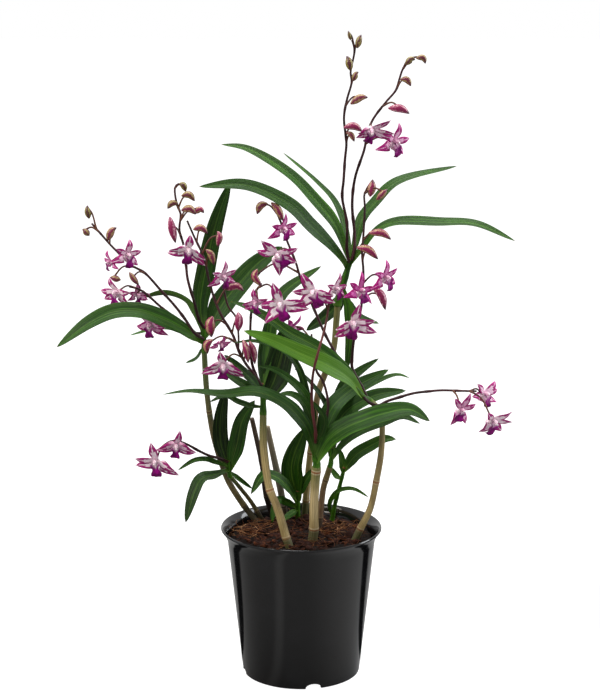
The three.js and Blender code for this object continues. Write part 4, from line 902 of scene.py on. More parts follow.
def budMaterial(shades):
    material, tree = newMaterial("bud")
    u, v = acrossAndAlong(tree)
    tone = attribute(tree, "tone")
    olive, tan, pink = shades["ground"]
    ground = mixColour(tree, step(tree, tone, 0.0, 0.5), olive, tan)
    ground = mixColour(tree, step(tree, tone, 0.55, 1.0), ground, pink)
    stain = mixColour(tree, step(tree, tone, 0.0, 0.55), *shades["stain"])
    blotches = calc(tree, "MULTIPLY_ADD", speckle(tree, 520, 5, roughness=0.75), 7.0, -3.5)
    seams = plus(tree, stripes(tree, u, 4, times(tree, speckle(tree, 150), 4.0)), blotches)
    skin = mixColour(tree, step(tree, plus(tree, tone, seams), -0.4, 0.5), ground, stain)
    tip = step(tree, calc(tree, "MULTIPLY_ADD", speckle(tree, 300), 0.3, v), 0.92, 1.12)
    feeds = {"Base Color": mixColour(tree, tip, skin, shades["tip"]), "Roughness": 0.36}
    return coated(material, feeds, plus(tree, seams, speckle(tree, 500)), 0.15, 0.0003)


stalkMaterials = {kind: stalkMaterial(kind + "Stalk", *shades) for kind, shades in stalkShades.items()}
budSkin = budMaterial(budShades)


def stalkSpine(stalk):
    rows = max(stalkLook["leastRows"], int(pathLength(stalk["path"]) / stalkLook["rowEvery"]))
    return curvePoints(stalk["path"], rows)


def sideRoot(spine, place, drop):  # the spot on a flower stalk that carries what stands at a place
    near = int(np.argmin(np.linalg.norm(spine - place, axis=1)))
    below = int(round(drop / max(np.linalg.norm(spine[1] - spine[0]), 1e-6)))
    return spine[max(1, near - below)]


def sideStalkStrand(root, end, arch):
    middle = (root + end) / 2
    middle[2] += np.linalg.norm(end - root) * arch
    share = np.linspace(0, 1, sideStalkLook["rows"])
    swelling = sideStalkLook["swollenRoot"] * (1 - share) ** 6 + sideStalkLook["swollenEnd"] * share ** 6
    return strand(curvePoints([root, middle, end], len(share)), sideStalkLook["radius"] * (1 + swelling))


def budStrands(spine, chin, tip, width, tone):
    chin, tip = np.array(chin), np.array(tip)
    middle = (chin + tip) / 2
    root = sideRoot(spine, middle, budLook["rootDrop"])
    crest = middle + (middle - root) * budLook["outward"] + np.array((0, 0, width * budLook["upward"]))
    girth = width / 2 * smoothShares(budLook["outline"], budLook["rows"])
    bud = strand(curvePoints([chin, crest, tip], budLook["rows"]), girth, tone)
    return bud, sideStalkStrand(root, crest, budLook["stalkArch"])


def makeStalk(key, stalk):
    name, kind = nodeName("stalk", key), stalk.get("kind", "dark")
    spine = stalkSpine(stalk)
    share = np.linspace(0, 1, len(spine))
    every = stalkLook["jointEvery"]
    swelling = stalkLook["jointSwelling"] * hump((share * len(spine)) % every - every // 2)
    girth = np.interp(share, [0, 1], stalkLook["radius"]) * (1 + swelling)
    lines = [strand(spine, girth)]
    if "branch" in stalk:
        branch = curvePoints(stalk["branch"], stalkLook["branchRows"])
        lines.append(strand(branch, stalkLook["branchRadius"]))
    parts = [stems(name + "_line", lines, stalkMaterials[kind], stalkLook["sides"])]
    if "buds" in stalk:
        buds, sideStalks = zip(*[budStrands(spine, *bud) for bud in stalk["buds"]])
        parts.append(stems(name + "_buds", buds, budSkin, budLook["sides"]))
        parts.append(stems(name + "_sides", sideStalks, stalkMaterials["side"], sideStalkLook["sides"]))
    finished(joined(name + "_fine", parts), kind + "_stalk", name)


for key, stalk in stalks.items():
    makeStalk(key, stalk)
print("stalks", len(stalks))


# blooms, in their own frame: x to the right, y to the upper sepal, z the way the bloom faces

bloomLook = {
    "tepalSection": {
        "sides": 18, "thickness": 0.13, "fold": -0.1, "wave": 0.1, "waveLength": 0.003, "groove": 0.06},
    "lipSection": {
        "sides": 26, "thickness": 0.1, "fold": 0.16, "wave": 0.16, "waveLength": 0.0012, "groove": 0.1},
    "tepalRows": 26,
    "columnSides": 14,
    "stalkAt": (0, -0.0002, -0.0016),
    "stalkArch": 0.2,
}
straightRoute = [(0.03, 0.03, 0, -0.0008), (0.35, 0.35, 0, 0.0014), (0.7, 0.7, 0, 0.0022)]
chinRoute = [(0.1, 0, -0.0042, -0.0036), (0.2, 0.16, -0.0016, -0.0006), (0.6, 0.6, 0, 0.0012)]
tepals = {  # route: shares of the tip's x and y, then how far up and forward; face: the way it looks
    "upperSepal": {"half": 0.0033, "forward": 0.0004, "outline": [0.6, 0.86, 1.0, 0.9, 0.55, 0.04],
        "route": straightRoute, "face": (0, 0, 1)},
    "petal": {"half": 0.0027, "forward": 0.0016, "outline": [0.5, 0.8, 1.0, 0.95, 0.6, 0.04],
        "route": straightRoute, "face": (0, 0, 1)},
    "sideSepal": {"half": 0.0043, "forward": -0.0008, "outline": [0.55, 1.0, 0.9, 0.66, 0.38, 0.03],
        "route": chinRoute, "face": (0, 0.35, 0.94)},
}
tepalOrder = ("upperSepal", "petal", "petal", "sideSepal", "sideSepal")
tipLuck = (-0.0016, 0.001)  # how far a tepal's tip may end behind or in front of its place
twistLuck = 22  # degrees
lip = {
    "half": 0.004,
    "rows": 30,
    "outline": [0.45, 0.8, 0.9, 0.62, 0.85, 1.0, 0.8, 0.5],
    "path": [(0, -0.0012, 0.0008), (0, -0.0032, 0.0046), (0, -0.0076, 0.0062), (0, -0.0104, 0.0046)],
    "face": (0, 0.7, 0.7),
    "cup": (3.0, 0.3, 0.18),  # how deep the side lobes cup it, where along it, and over what share
}
columnParts = [  # the column, the chin behind it and the cap on its tip
    {"path": [(0, -0.0006, -0.001), (0, 0.0009, 0.0028), (0, 0.0006, 0.0052)],
        "girth": [0.0013, 0.0014, 0.0015, 0.001], "rows": 12, "tone": 1},
    {"path": [(0, -0.0004, -0.0004), (0, -0.0032, -0.003), (0, -0.0052, -0.0044)],
        "girth": [0.0018, 0.0026, 0.0023, 0.0011], "rows": 12, "tone": 0.5},
    {"path": [(0, 0.0004, 0.005), (0, 0.0001, 0.006)],
        "girth": [0.0006, 0.001, 0.0005], "rows": 5, "tone": 0},
]

blooms = [  # heart, stalk, yaw, nod, roll, size, tone, then angle and length
    # of the upper sepal, the left and right petal, the left and right side sepal,
    # and last, for one bloom, how much lower than its heart its side stalk begins
    ((-0.115, -0.024, 0.183), "lowLeft", -8, 15, -10, 1.1, 0.5,
        ((89, 0.016), (163, 0.0155), (322, 0.016), (186, 0.0165), (313, 0.02))),
    ((-0.099, -0.022, 0.196), "lowLeft", 5, 30, 10, 1, 0.6,
        ((88, 0.015), (201, 0.015), (343, 0.0165), (212, 0.018), (334, 0.02))),
    ((0.054, -0.02, 0.445), "topRight", 0, 40, 25, 1, 0.6,
        ((63, 0.018), (226, 0.012), (15, 0.018), (246, 0.016), (350, 0.0185))),
    ((0.072, 0.002, 0.433), "topRight", 44, 10, 10, 1.05, 0.7,
        ((88, 0.015), (160, 0.015), (18, 0.015), (208, 0.018), (332, 0.018))),
    ((0.143, -0.031, 0.239), "farRight", 45, -5, 30, 0.95, 0.6,
        ((60, 0.018), (162, 0.014), (36, 0.017), (208, 0.016), (0, 0.019))),
    ((0.148, -0.054, 0.224), "farRight", 25, 25, 35, 1, 0.5,
        ((60, 0.017), (166, 0.013), (26, 0.0176), (270, 0.015), (347, 0.0166))),
    ((0.124, -0.047, 0.231), "farRight", 20, 10, 40, 0.9, 0.7,
        ((105, 0.017), (164, 0.014), (56, 0.014), (280, 0.017), (332, 0.016))),
    ((-0.134, -0.034, 0.35), "farLeft", 36, 5, 10, 0.9, 0.6,
        ((90, 0.014), (160, 0.014), (20, 0.014), (212, 0.016), (330, 0.017))),
    ((-0.147, -0.029, 0.344), "farLeft", -55, 15, 0, 0.65, 0.8,
        ((96, 0.014), (170, 0.014), (10, 0.014), (208, 0.017), (332, 0.017))),
    ((-0.144, -0.013, 0.3175), "farLeftLow", -35, 15, -10, 1, 0.5,
        ((104, 0.013), (172, 0.017), (353, 0.014), (199, 0.018), (300, 0.014))),
    ((-0.13, 0.006, 0.312), "farLeftLow", 30, 25, 10, 0.75, 0.7,
        ((110, 0.015), (169, 0.014), (8, 0.014), (230, 0.013), (336, 0.018))),
    ((-0.12, 0.004, 0.288), "farLeftLow", -15, 30, 0, 1, 0.7,
        ((70, 0.016), (110, 0.015), (352, 0.014), (200, 0.014), (318, 0.018))),
    ((-0.087, -0.024, 0.353), "upperLeft", 5, 25, 12, 1.05, 0.4,
        ((97, 0.013), (191, 0.015), (333, 0.016), (206, 0.017), (320, 0.02))),
    ((-0.061, -0.026, 0.332), "midLeft", 38, 15, 0, 0.85, 0.6,
        ((86, 0.015), (158, 0.014), (20, 0.015), (214, 0.017), (334, 0.018))),
    ((-0.062, -0.04, 0.282), "midLeft", 30, 45, 0, 0.65, 0.8,
        ((94, 0.014), (168, 0.013), (12, 0.014), (214, 0.016), (326, 0.017))),
    ((-0.06, -0.048, 0.267), "midLeft", 0, 35, 4, 1.1, 0.5,
        ((102, 0.015), (197, 0.015), (338, 0.015), (216, 0.019), (320, 0.02))),
    ((0.064, -0.042, 0.334), "right", 46, 5, 0, 0.95, 0.8,
        ((90, 0.015), (158, 0.015), (24, 0.015), (210, 0.017), (336, 0.018))),
    ((0.045, -0.045, 0.324), "right", 38, -10, 15, 0.95, 0.9,
        ((92, 0.016), (162, 0.014), (18, 0.015), (206, 0.018), (330, 0.018))),
    ((0.026, -0.041, 0.325), "red", 46, 5, 0, 0.8, 0.5,
        ((70, 0.017), (158, 0.014), (5, 0.016), (210, 0.017), (330, 0.018))),
    ((0.009, -0.052, 0.325), "red", -5, 15, -32, 1.15, 0.4,
        ((87, 0.016), (148, 0.014), (318, 0.014), (199, 0.019), (296, 0.017))),
    ((-0.016, -0.054, 0.316), "inner", 0, 15, -22, 1.2, 0.3,
        ((86, 0.016), (159, 0.013), (345, 0.017), (212, 0.018), (325, 0.019))),
    ((-0.034, -0.043, 0.315), "inner", -25, 30, -10, 0.85, 0.7,
        ((80, 0.015), (185, 0.016), (14, 0.014), (204, 0.019), (330, 0.017)), 0.011),
    ((-0.019, -0.042, 0.352), "centre", 20, 20, -45, 1.1, 0.5,
        ((92, 0.018), (120, 0.016), (330, 0.016), (240, 0.019), (288, 0.018))),
    ((-0.014, -0.036, 0.371), "centre", 36, 10, 0, 0.85, 0.8,
        ((88, 0.015), (164, 0.015), (16, 0.015), (210, 0.018), (334, 0.018))),
    ((0.04, -0.048, 0.3), "right", 5, 15, 12, 1.15, 0.5,
        ((87, 0.015), (215, 0.013), (16, 0.015), (236, 0.017), (343, 0.019))),
    ((-0.007, -0.018, 0.29), "hidden", 40, 20, 30, 0.8, 0.9,
        ((90, 0.015), (162, 0.015), (18, 0.015), (208, 0.018), (332, 0.018))),
]

petalShades = {"ground": ("#fdf0f5", "#cf55ab"), "vein": "#b52d86", "stain": "#9c006c", "behind": "#8c1466",
               "tip": "#4a1030"}
lipShades = {"ground": ("#8a0072", "#4c003f"), "vein": "#a10c8c", "throat": "#f3dce6"}
columnShades = {"ground": ("#efe0e4", "#c562a0"), "dots": "#a8307c"}


def petalMaterial(shades):
    material, tree = newMaterial("petal")
    u, v = acrossAndAlong(tree)
    ragged = calc(tree, "MULTIPLY_ADD", speckle(tree, 300, 5, roughness=0.65), 0.8, -0.4)
    side = plus(tree, offMiddle(tree, u), ragged)
    reach = calc(tree, "MULTIPLY_ADD", ragged, 0.5, v)
    skin = mixColour(tree, step(tree, attribute(tree, "tone"), 0.35, 1.0), *shades["ground"])
    veins = stripes(tree, u, 8, times(tree, speckle(tree, 200), 2.0))
    veins = times(tree, step(tree, veins, 0.4, 1.0), 0.22)
    skin = mixColour(tree, veins, skin, shades["vein"])
    margin = times(tree, step(tree, side, 0.47, 0.6), step(tree, v, 0.12, 0.36))
    blotch = times(tree, step(tree, reach, 0.47, 0.56), step(tree, side, 0.06, 0.18))
    stain = times(tree, calc(tree, "MAXIMUM", margin, blotch), opposite(tree, step(tree, reach, 0.88, 0.97)))
    skin = tinted(tree, skin, stain, 0.97, shades["stain"])
    skin = tinted(tree, skin, attribute(tree, "under"), 0.3, shades["behind"])
    skin = mixColour(tree, step(tree, v, 0.98, 0.99), skin, shades["tip"])
    feeds = {"Base Color": skin, "Roughness": 0.55, "Specular IOR Level": 0.15, "Subsurface Weight": 0.12,
             "Subsurface Radius": (0.0015, 0.0007, 0.001)}
    return coated(material, feeds, calc(tree, "MULTIPLY_ADD", veins, 1.2, speckle(tree, 900)), 0.12, 0.0003)


def lipMaterial(shades):
    material, tree = newMaterial("lip")
    u, v = acrossAndAlong(tree)
    skin = mixColour(tree, step(tree, speckle(tree, 240, 4), 0.35, 0.65), *shades["ground"])
    veins = stripes(tree, u, 8, times(tree, speckle(tree, 220), 2.0))
    skin = tinted(tree, skin, step(tree, veins, 0.5, 1.0), 0.35, shades["vein"])
    outwards = calc(tree, "MULTIPLY_ADD", offMiddle(tree, u), 0.25, v)
    skin = tinted(tree, skin, opposite(tree, step(tree, outwards, 0.16, 0.5)), 0.8, shades["throat"])
    feeds = {"Base Color": skin, "Roughness": 0.5, "Specular IOR Level": 0.15}
    return coated(material, feeds, plus(tree, veins, speckle(tree, 700)), 0.15, 0.0003)


def columnMaterial(shades):
    material, tree = newMaterial("column")
    blush = calc(tree, "MULTIPLY_ADD", speckle(tree, 300), 0.4, times(tree, attribute(tree, "tone"), 0.5))
    skin = mixColour(tree, step(tree, blush, 0.15, 0.9), *shades["ground"])
    skin = tinted(tree, skin, step(tree, speckle(tree, 900), 0.62, 0.7), 0.5, shades["dots"])
    return coated(material, {"Base Color": skin, "Roughness": 0.36}, speckle(tree, 800), 0.12, 0.0003)


petalSkin, lipSkin = petalMaterial(petalShades), lipMaterial(lipShades)
columnSkin = columnMaterial(columnShades)


def bloomFrame(yaw, nod, roll):
    turn, tip, lean = np.radians((yaw, nod, roll))
    front = np.array((math.sin(turn) * math.cos(tip), -math.cos(turn) * math.cos(tip), -math.sin(tip)))
    level = np.array((math.cos(turn), math.sin(turn), 0.0))
    right = level * math.cos(lean) - np.cross(front, level) * math.sin(lean)
    return np.array((right, np.cross(front, right), front))


def makeBloom(i, heart, stalk, yaw, nod, roll, size, tone, tips, rootDrop=0.005):
    name = "bloom_" + str(i + 1).zfill(2)
    luck = random.Random(i)
    basis = bloomFrame(yaw, nod, roll)
    place = lambda x, y, z: np.array(heart) + (np.array((x, y, z)) * size) @ basis
    facing = lambda x, y, z: np.array((x, y, z)) @ basis

    def tepalStrand(tepal, angle, length):
        x, y = length * math.cos(math.radians(angle)), length * math.sin(math.radians(angle))
        points = [(shareX * x, shareY * y + up, forward) for shareX, shareY, up, forward in tepal["route"]]
        points.append((x, y, tepal["forward"] + luck.uniform(*tipLuck)))
        rows = bloomLook["tepalRows"]
        half = np.maximum(size * tepal["half"] * smoothShares(tepal["outline"], rows), 0)
        twist = luck.uniform(-twistLuck, twistLuck)
        points = curvePoints([place(*point) for point in points], rows)
        return strand(points, half, tone, 0.0, facing(*tepal["face"]), twist, 0.02)

    def lipStrand():
        rows = lip["rows"]
        depth, middle, reach = lip["cup"]
        cup = depth * hump(np.linspace(0, 1, rows) - middle, reach)
        half = lip["half"] * size * smoothShares(lip["outline"], rows)
        points = curvePoints([place(*point) for point in lip["path"]], rows)
        return strand(points, half, tone, cup, facing(*lip["face"]), 0, 0.12)

    def columnStrand(part):
        girth = size * smoothShares(part["girth"], part["rows"])
        points = curvePoints([place(*point) for point in part["path"]], part["rows"])
        return strand(points, girth, tone * part["tone"])

    strands = [tepalStrand(tepals[kind], *tip) for kind, tip in zip(tepalOrder, tips)]
    columns = [columnStrand(part) for part in columnParts]
    back = place(*bloomLook["stalkAt"])
    root = sideRoot(stalkSpine(stalks[stalk]), back, rootDrop)
    sideStalk = sideStalkStrand(root, back, bloomLook["stalkArch"])
    finished(joined(name + "_fine", [
        blades(name + "_tepals", strands, petalSkin, bloomLook["tepalSection"]),
        blades(name + "_lip", [lipStrand()], lipSkin, bloomLook["lipSection"]),
        stems(name + "_column", columns, columnSkin, bloomLook["columnSides"]),
        stems(name + "_stalk", [sideStalk], stalkMaterials["side"], sideStalkLook["sides"]),
    ]), "petals", name)


for i, bloom in enumerate(blooms):
    makeBloom(i, *bloom)
print("blooms", len(blooms))


# pot

potLook = {  # heights from the ground, radii from the axis
    "height": 0.122,
    "rim": 0.065,
    "bodyTop": 0.0596,
    "foot": 0.0476,
    "footWidth": 0.0036,
    "floor": 0.0075,
    "floorThickness": 0.002,
    "wall": 0.0015,
    "lip": 0.012,
    "footEdge": [(-0.0007, 0), (-0.0001, 0.0003), (0.0001, 0.001)],  # out from the foot, up from the ground
    "underRim": [  # out from the body, down from the top
        (0.0005, 0.0098), (0.0012, 0.008), (0.0022, 0.0058), (0.0033, 0.0038)],
    "rimEdge": [  # in from the rim, down from the top
        (0.0004, 0.002), (0, 0.0014), (0, 0.0008), (0.0003, 0.0002), (0.0008, 0), (0.0014, 0.0003)],
    "insideRim": [(0.0024, 0.0026), (0.0008, 0.0048), (-0.0003, 0.0074)],  # the same way
    "footRound": 0.0004,
    "floorRound": 0.001,
    "segments": 160,
    "sharpAngle": 35,
    "drainHoles": {"count": 6, "radius": 0.004, "ring": 0.029, "depth": 0.02, "corners": 24},
    "notches": {"count": 4, "halfWidth": 0.0065, "height": 0.0044, "firstAngle": 12, "depth": 0.014,
        "outside": 0.004, "below": 0.002, "corners": 12, "squareness": 0.8},
    "shades": ("#060607", "#0d0d0f"),
}


def potMaterial(shades):
    material, tree = newMaterial("blackPlastic")
    dust = step(tree, speckle(tree, 60, 6), 0.45, 0.8)
    scuffs = step(tree, speckle(tree, 500, 2, stretch=(1, 1, 0.1)), 0.6, 0.75)
    rough = calc(tree, "MULTIPLY_ADD", scuffs, 0.06, calc(tree, "MULTIPLY_ADD", dust, 0.05, 0.09))
    feeds = {"Base Color": mixColour(tree, dust, *shades), "Roughness": rough}
    return coated(material, feeds, speckle(tree, 45, 2, stretch=(1, 1, 0.35)), 0.03, 0.0006)


def wallRadius(height):  # of the tapered body, outside
    lipStart = potLook["height"] - potLook["lip"]
    return potLook["foot"] + (potLook["bodyTop"] - potLook["foot"]) / lipStart * height


def onCircle(radius, share):
    return radius * math.cos(2 * math.pi * share), radius * math.sin(2 * math.pi * share)


def potProfile(p):
    top, body, floor, wall = p["height"], p["bodyTop"], p["floor"], p["wall"]
    inner, lipStart = p["foot"] - p["footWidth"], p["height"] - p["lip"]
    profile = [(0, floor), (inner, floor), (inner, p["footRound"]), (inner + p["footRound"], 0)]
    profile += [(p["foot"] + out, up) for out, up in p["footEdge"]] + [(wallRadius(lipStart), lipStart)]
    profile += [(body + out, top - down) for out, down in p["underRim"]]
    profile += [(p["rim"] - inwards, top - down) for inwards, down in p["rimEdge"]]
    profile += [(body + out, top - down) for out, down in p["insideRim"]]
    profile.append((wallRadius(lipStart) - wall, lipStart))
    inside, upper = wallRadius(floor) - wall, floor + p["floorThickness"]
    return profile + [(inside, upper + p["floorRound"]), (inside - p["floorRound"], upper), (0, upper)]


def cutter(name, outline, depth, place):
    form = bmesh.new()
    face = form.faces.new([form.verts.new((x, 0, z)) for x, z in outline])
    pushed = bmesh.ops.extrude_face_region(form, geom=[face])["geom"]
    far = [part for part in pushed if isinstance(part, bmesh.types.BMVert)]
    bmesh.ops.translate(form, vec=(0, depth, 0), verts=far)
    bmesh.ops.recalc_face_normals(form, faces=form.faces)
    form.transform(Matrix.Translation(potFoot) @ place)
    mesh = bpy.data.meshes.new(name)
    form.to_mesh(mesh)
    form.free()
    return linked(name, mesh)


def potCutters(holes, notches):
    circle = [onCircle(holes["radius"], k / holes["corners"]) for k in range(holes["corners"])]
    lying = Matrix.Rotation(math.pi / 2, 4, "X")
    cutters = []
    for i in range(holes["count"]):
        spot = Matrix.Translation((*onCircle(holes["ring"], i / holes["count"]), 0))
        cutters.append(cutter("drain" + str(i), circle, holes["depth"], spot @ lying))
    angles = [math.pi * k / notches["corners"] for k in range(notches["corners"] + 1)]
    arch = [(notches["halfWidth"] * math.cos(a), notches["height"] * math.sin(a) ** notches["squareness"])
            for a in angles]
    arch = [(notches["halfWidth"], -notches["below"])] + arch + [(-notches["halfWidth"], -notches["below"])]
    outside = Matrix.Translation((0, -potLook["foot"] - notches["outside"], 0))
    for i in range(notches["count"]):
        turn = Matrix.Rotation(math.radians(notches["firstAngle"] + 360 / notches["count"] * i), 4, "Z")
        cutters.append(cutter("notch" + str(i), arch, notches["depth"], turn @ outside))
    return cutters


def makePot():
    form = bmesh.new()
    points = [form.verts.new((radius, 0, height)) for radius, height in potProfile(potLook)]
    edges = [form.edges.new(pair) for pair in zip(points, points[1:])]
    bmesh.ops.spin(form, geom=points + edges, cent=(0, 0, 0), axis=(0, 0, 1), angle=2 * math.pi,
                   steps=potLook["segments"], use_merge=True)
    bmesh.ops.remove_doubles(form, verts=form.verts, dist=1e-6)
    bmesh.ops.recalc_face_normals(form, faces=form.faces)
    bmesh.ops.translate(form, vec=potFoot, verts=form.verts)
    mesh = bpy.data.meshes.new("pot_fine")
    form.to_mesh(mesh)
    form.free()
    mesh.materials.append(potMaterial(potLook["shades"]))
    pot = linked("pot_fine", mesh)
    cut = pot.modifiers.new("cut", "BOOLEAN")
    cut.object = joined("cutters", potCutters(potLook["drainHoles"], potLook["notches"]))
    cut.operation = "DIFFERENCE"
    cut.solver = "EXACT"
    whole = plainMesh(pot)
    bpy.data.objects.remove(cut.object)
    pot.modifiers.clear()
    pot.data = whole
    finished(pot, "black_plastic", "pot")
    pot.data.set_sharp_from_angle(angle=math.radians(potLook["sharpAngle"]))


makePot()
print("pot")


# potting mix with bark chips and coir fibres

mixLook = {
    "level": 0.1155,
    "least": 0.1095,  # no spot of its top lies lower
    "edge": 0.109,  # where it meets the pot's wall
    "bottom": 0.01,
    "wallGap": 0.0006,
    "rounding": 0.0008,
    "firstRing": 0.001,
    "ringEvery": 0.0018,
    "rings": 30,
    "segments": 120,
    "tilt": 2.6,  # millimetres that it rises to the front
    "sag": 3.2,  # and falls to the sides
    "grain": 0.9,
}
scatter = {  # counts, sizes, and how pieces lie, vary and are roughened
    "reach": 0.052,
    "chips": {"count": 280, "size": 0.004, "seed": 3, "round": True, "lean": 0.7,
        "least": (0.5, 0.3, 0.15), "most": (1.5, 1.0, 0.5), "grain": 420, "push": 0.0022, "sink": 0.25},
    "fibres": {"count": 230, "size": 0.0085, "seed": 8, "round": False, "lean": 0.5,
        "least": (0.4, 0.4, 0.4), "most": (1.6, 1.6, 1.0), "grain": 160, "push": 0.005, "sink": 0},
    "tufts": {"count": 75, "size": 0.0105, "seed": 20,  # places: x and y from the pot's axis, and radius
        "places": [(0.027, 0.008, 0.016), (-0.038, 0.004, 0.014)]},
    "fibreRadius": 0.00016,
    "fibreTurn": 1.7,  # radians of an arc in each fibre
}
mixShades = {  # dark, middle and light, and the size of the grain
    "coirMix": ("#030201", "#120804", "#301a0e", 200),
    "bark": ("#0a0402", "#27110a", "#5c321c", 150),
    "fibre": ("#1f0f07", "#54301b", "#966a46", 70),
    "straw": ("#341b0e", "#7d5233", "#cfa27a", 110),
}


def mixHeight(x, y):
    mx, my = x * 1000, y * 1000  # the lumps and the grain are in millimetres
    lumps = 1.3 * math.sin(mx * 0.19 + 1.1) * math.cos(my * 0.17) + 0.8 * math.sin(mx * 0.41 - my * 0.37)
    sides = -mixLook["sag"] * (x / potLook["bodyTop"]) ** 4
    grain = noise.fractal(Vector((mx, my, 0)) * 0.35, 1.0, 2.0, 4) * mixLook["grain"]
    return mixLook["level"] + (-mixLook["tilt"] * y / potLook["bodyTop"] + sides + lumps + grain) / 1000


def mixMaterial(name, dark, middle, light, size):
    material, tree = newMaterial(name)
    grain = speckle(tree, size, 6, roughness=0.7)
    skin = mixColour(tree, step(tree, grain, 0.3, 0.55), dark, middle)
    skin = mixColour(tree, step(tree, grain, 0.52, 0.7), skin, light)
    feeds = {"Base Color": skin, "Roughness": 0.85, "Specular IOR Level": 0.12}
    return coated(material, feeds, grain, 0.8, 0.0012)


mixSkins = {name: mixMaterial(name, *shades) for name, shades in mixShades.items()}


def makeMix():
    count, edge, bottom = mixLook["segments"], mixLook["edge"], mixLook["bottom"]
    inside = lambda z: wallRadius(z) - potLook["wall"] - mixLook["wallGap"]
    rings = [mixLook["firstRing"]] + [mixLook["ringEvery"] * k for k in range(1, mixLook["rings"] + 1)]
    rings.append(inside(edge) - mixLook["rounding"])
    verts = [(0, 0, mixHeight(0, 0))]
    for radius in rings:
        for k in range(count):
            x, y = onCircle(radius, k / count)
            verts.append((x, y, max(mixLook["least"], mixHeight(x, y))))
    verts += [(*onCircle(inside(z), k / count), z) for z in (edge, bottom) for k in range(count)]
    verts.append((0, 0, bottom))
    faces = [(0, 1 + k, 1 + (k + 1) % count) for k in range(count)]
    for row in range(len(rings) + 1):
        a, b = 1 + row * count, 1 + (row + 1) * count
        faces += [(a + k, b + k, b + (k + 1) % count, a + (k + 1) % count) for k in range(count)]
    last = 1 + (len(rings) + 1) * count
    faces += [(last + k, len(verts) - 1, last + (k + 1) % count) for k in range(count)]
    mesh = bpy.data.meshes.new("potting_mix_fine")
    mesh.from_pydata([tuple(np.array(v) + potFoot) for v in verts], [], faces)
    mesh.materials.append(mixSkins["coirMix"])
    return finished(linked("potting_mix_fine", mesh), "coir_mix", "potting_mix")


def topOnly(mix, x, y, reach):  # the top of the mix, within reach of a spot
    form = bmesh.new()
    form.from_mesh(mix.data)
    axis = Vector(potFoot[:2])
    spot = Vector((potFoot[0] + x, potFoot[1] + y))
    away = [v for v in form.verts if v.co.z - potFoot[2] < mixLook["least"] or (v.co.xy - spot).length > reach
            or (v.co.xy - axis).length > scatter["reach"]]
    bmesh.ops.delete(form, geom=away, context="VERTS")
    mesh = bpy.data.meshes.new("mixTop")
    form.to_mesh(mesh)
    form.free()
    return mesh


def scatterTree(name, look):
    tree, given = newTree(name, count="Float", size="Float", seed="Int", material="Material")
    feeds = {"Mesh": given["geometry"], "Density": given["count"], "Seed": given["seed"]}
    points = addNode(tree, "GeometryNodeDistributePointsOnFaces", feeds)
    lean = look["lean"]
    feeds = {0: (-lean, -lean, 0), 1: (lean, lean, 6.28)}  # radians, and any way round
    turn = addNode(tree, "FunctionNodeRandomValue", feeds, data_type="FLOAT_VECTOR")
    if look["round"]:
        one = addNode(tree, "GeometryNodeMeshIcoSphere", {"Radius": 1.0, "Subdivisions": 2})
    else:
        feeds = {"Resolution": 7, "Radius": 1.0, "Sweep Angle": scatter["fibreTurn"]}
        one = addNode(tree, "GeometryNodeCurveArc", feeds, mode="RADIUS")
    feeds = {0: look["least"], 1: look["most"]}
    size = addNode(tree, "FunctionNodeRandomValue", feeds, data_type="FLOAT_VECTOR")
    feeds = {"Points": points, "Instance": one, "Rotation": turn, "Scale": scaled(tree, size, given["size"])}
    spread = addNode(tree, "GeometryNodeInstanceOnPoints", feeds)
    spread = addNode(tree, "GeometryNodeRealizeInstances", {"Geometry": spread})
    rough = addNode(tree, "ShaderNodeTexNoise", {"Scale": look["grain"]}, "Color")
    push = look["push"]
    feeds = {0: rough, 1: (push, push, push / 2), 2: (-push / 2, -push / 2, -push * look["sink"])}
    centred = addNode(tree, "ShaderNodeVectorMath", feeds, operation="MULTIPLY_ADD")
    spread = addNode(tree, "GeometryNodeSetPosition", {"Geometry": spread, "Offset": centred})
    if not look["round"]:
        feeds = {"Resolution": 4, "Radius": scatter["fibreRadius"]}
        section = addNode(tree, "GeometryNodeCurvePrimitiveCircle", feeds, mode="RADIUS")
        feeds = {"Curve": spread, "Profile Curve": section, "Fill Caps": True}
        spread = addNode(tree, "GeometryNodeCurveToMesh", feeds)
    return closeTree(tree, spread, given["material"])


def scattered(name, mix, tree, skin, look, seed, x=0.0, y=0.0, reach=scatter["reach"]):
    sizes = {"count": look["count"] / (math.pi * reach ** 2), "size": look["size"], "seed": seed}
    piece = grow(name, tree, topOnly(mix, x, y, reach), material=mixSkins[skin], **sizes)
    finished(piece, "coir_mix")
    print(name, len(piece.data.polygons), "faces")


mix = makeMix()
chips, fibres, tufts = scatter["chips"], scatter["fibres"], scatter["tufts"]
coir = scatterTree("coirFibres", fibres)
scattered("bark_chips", mix, scatterTree("barkChips", chips), "bark", chips, chips["seed"])
scattered("coir_fibres", mix, coir, "fibre", fibres, fibres["seed"])
for i, spot in enumerate(tufts["places"]):
    scattered("coir_tuft_" + str(i + 1), mix, coir, "straw", tufts, tufts["seed"] + i, *spot)


# camera, light and floor

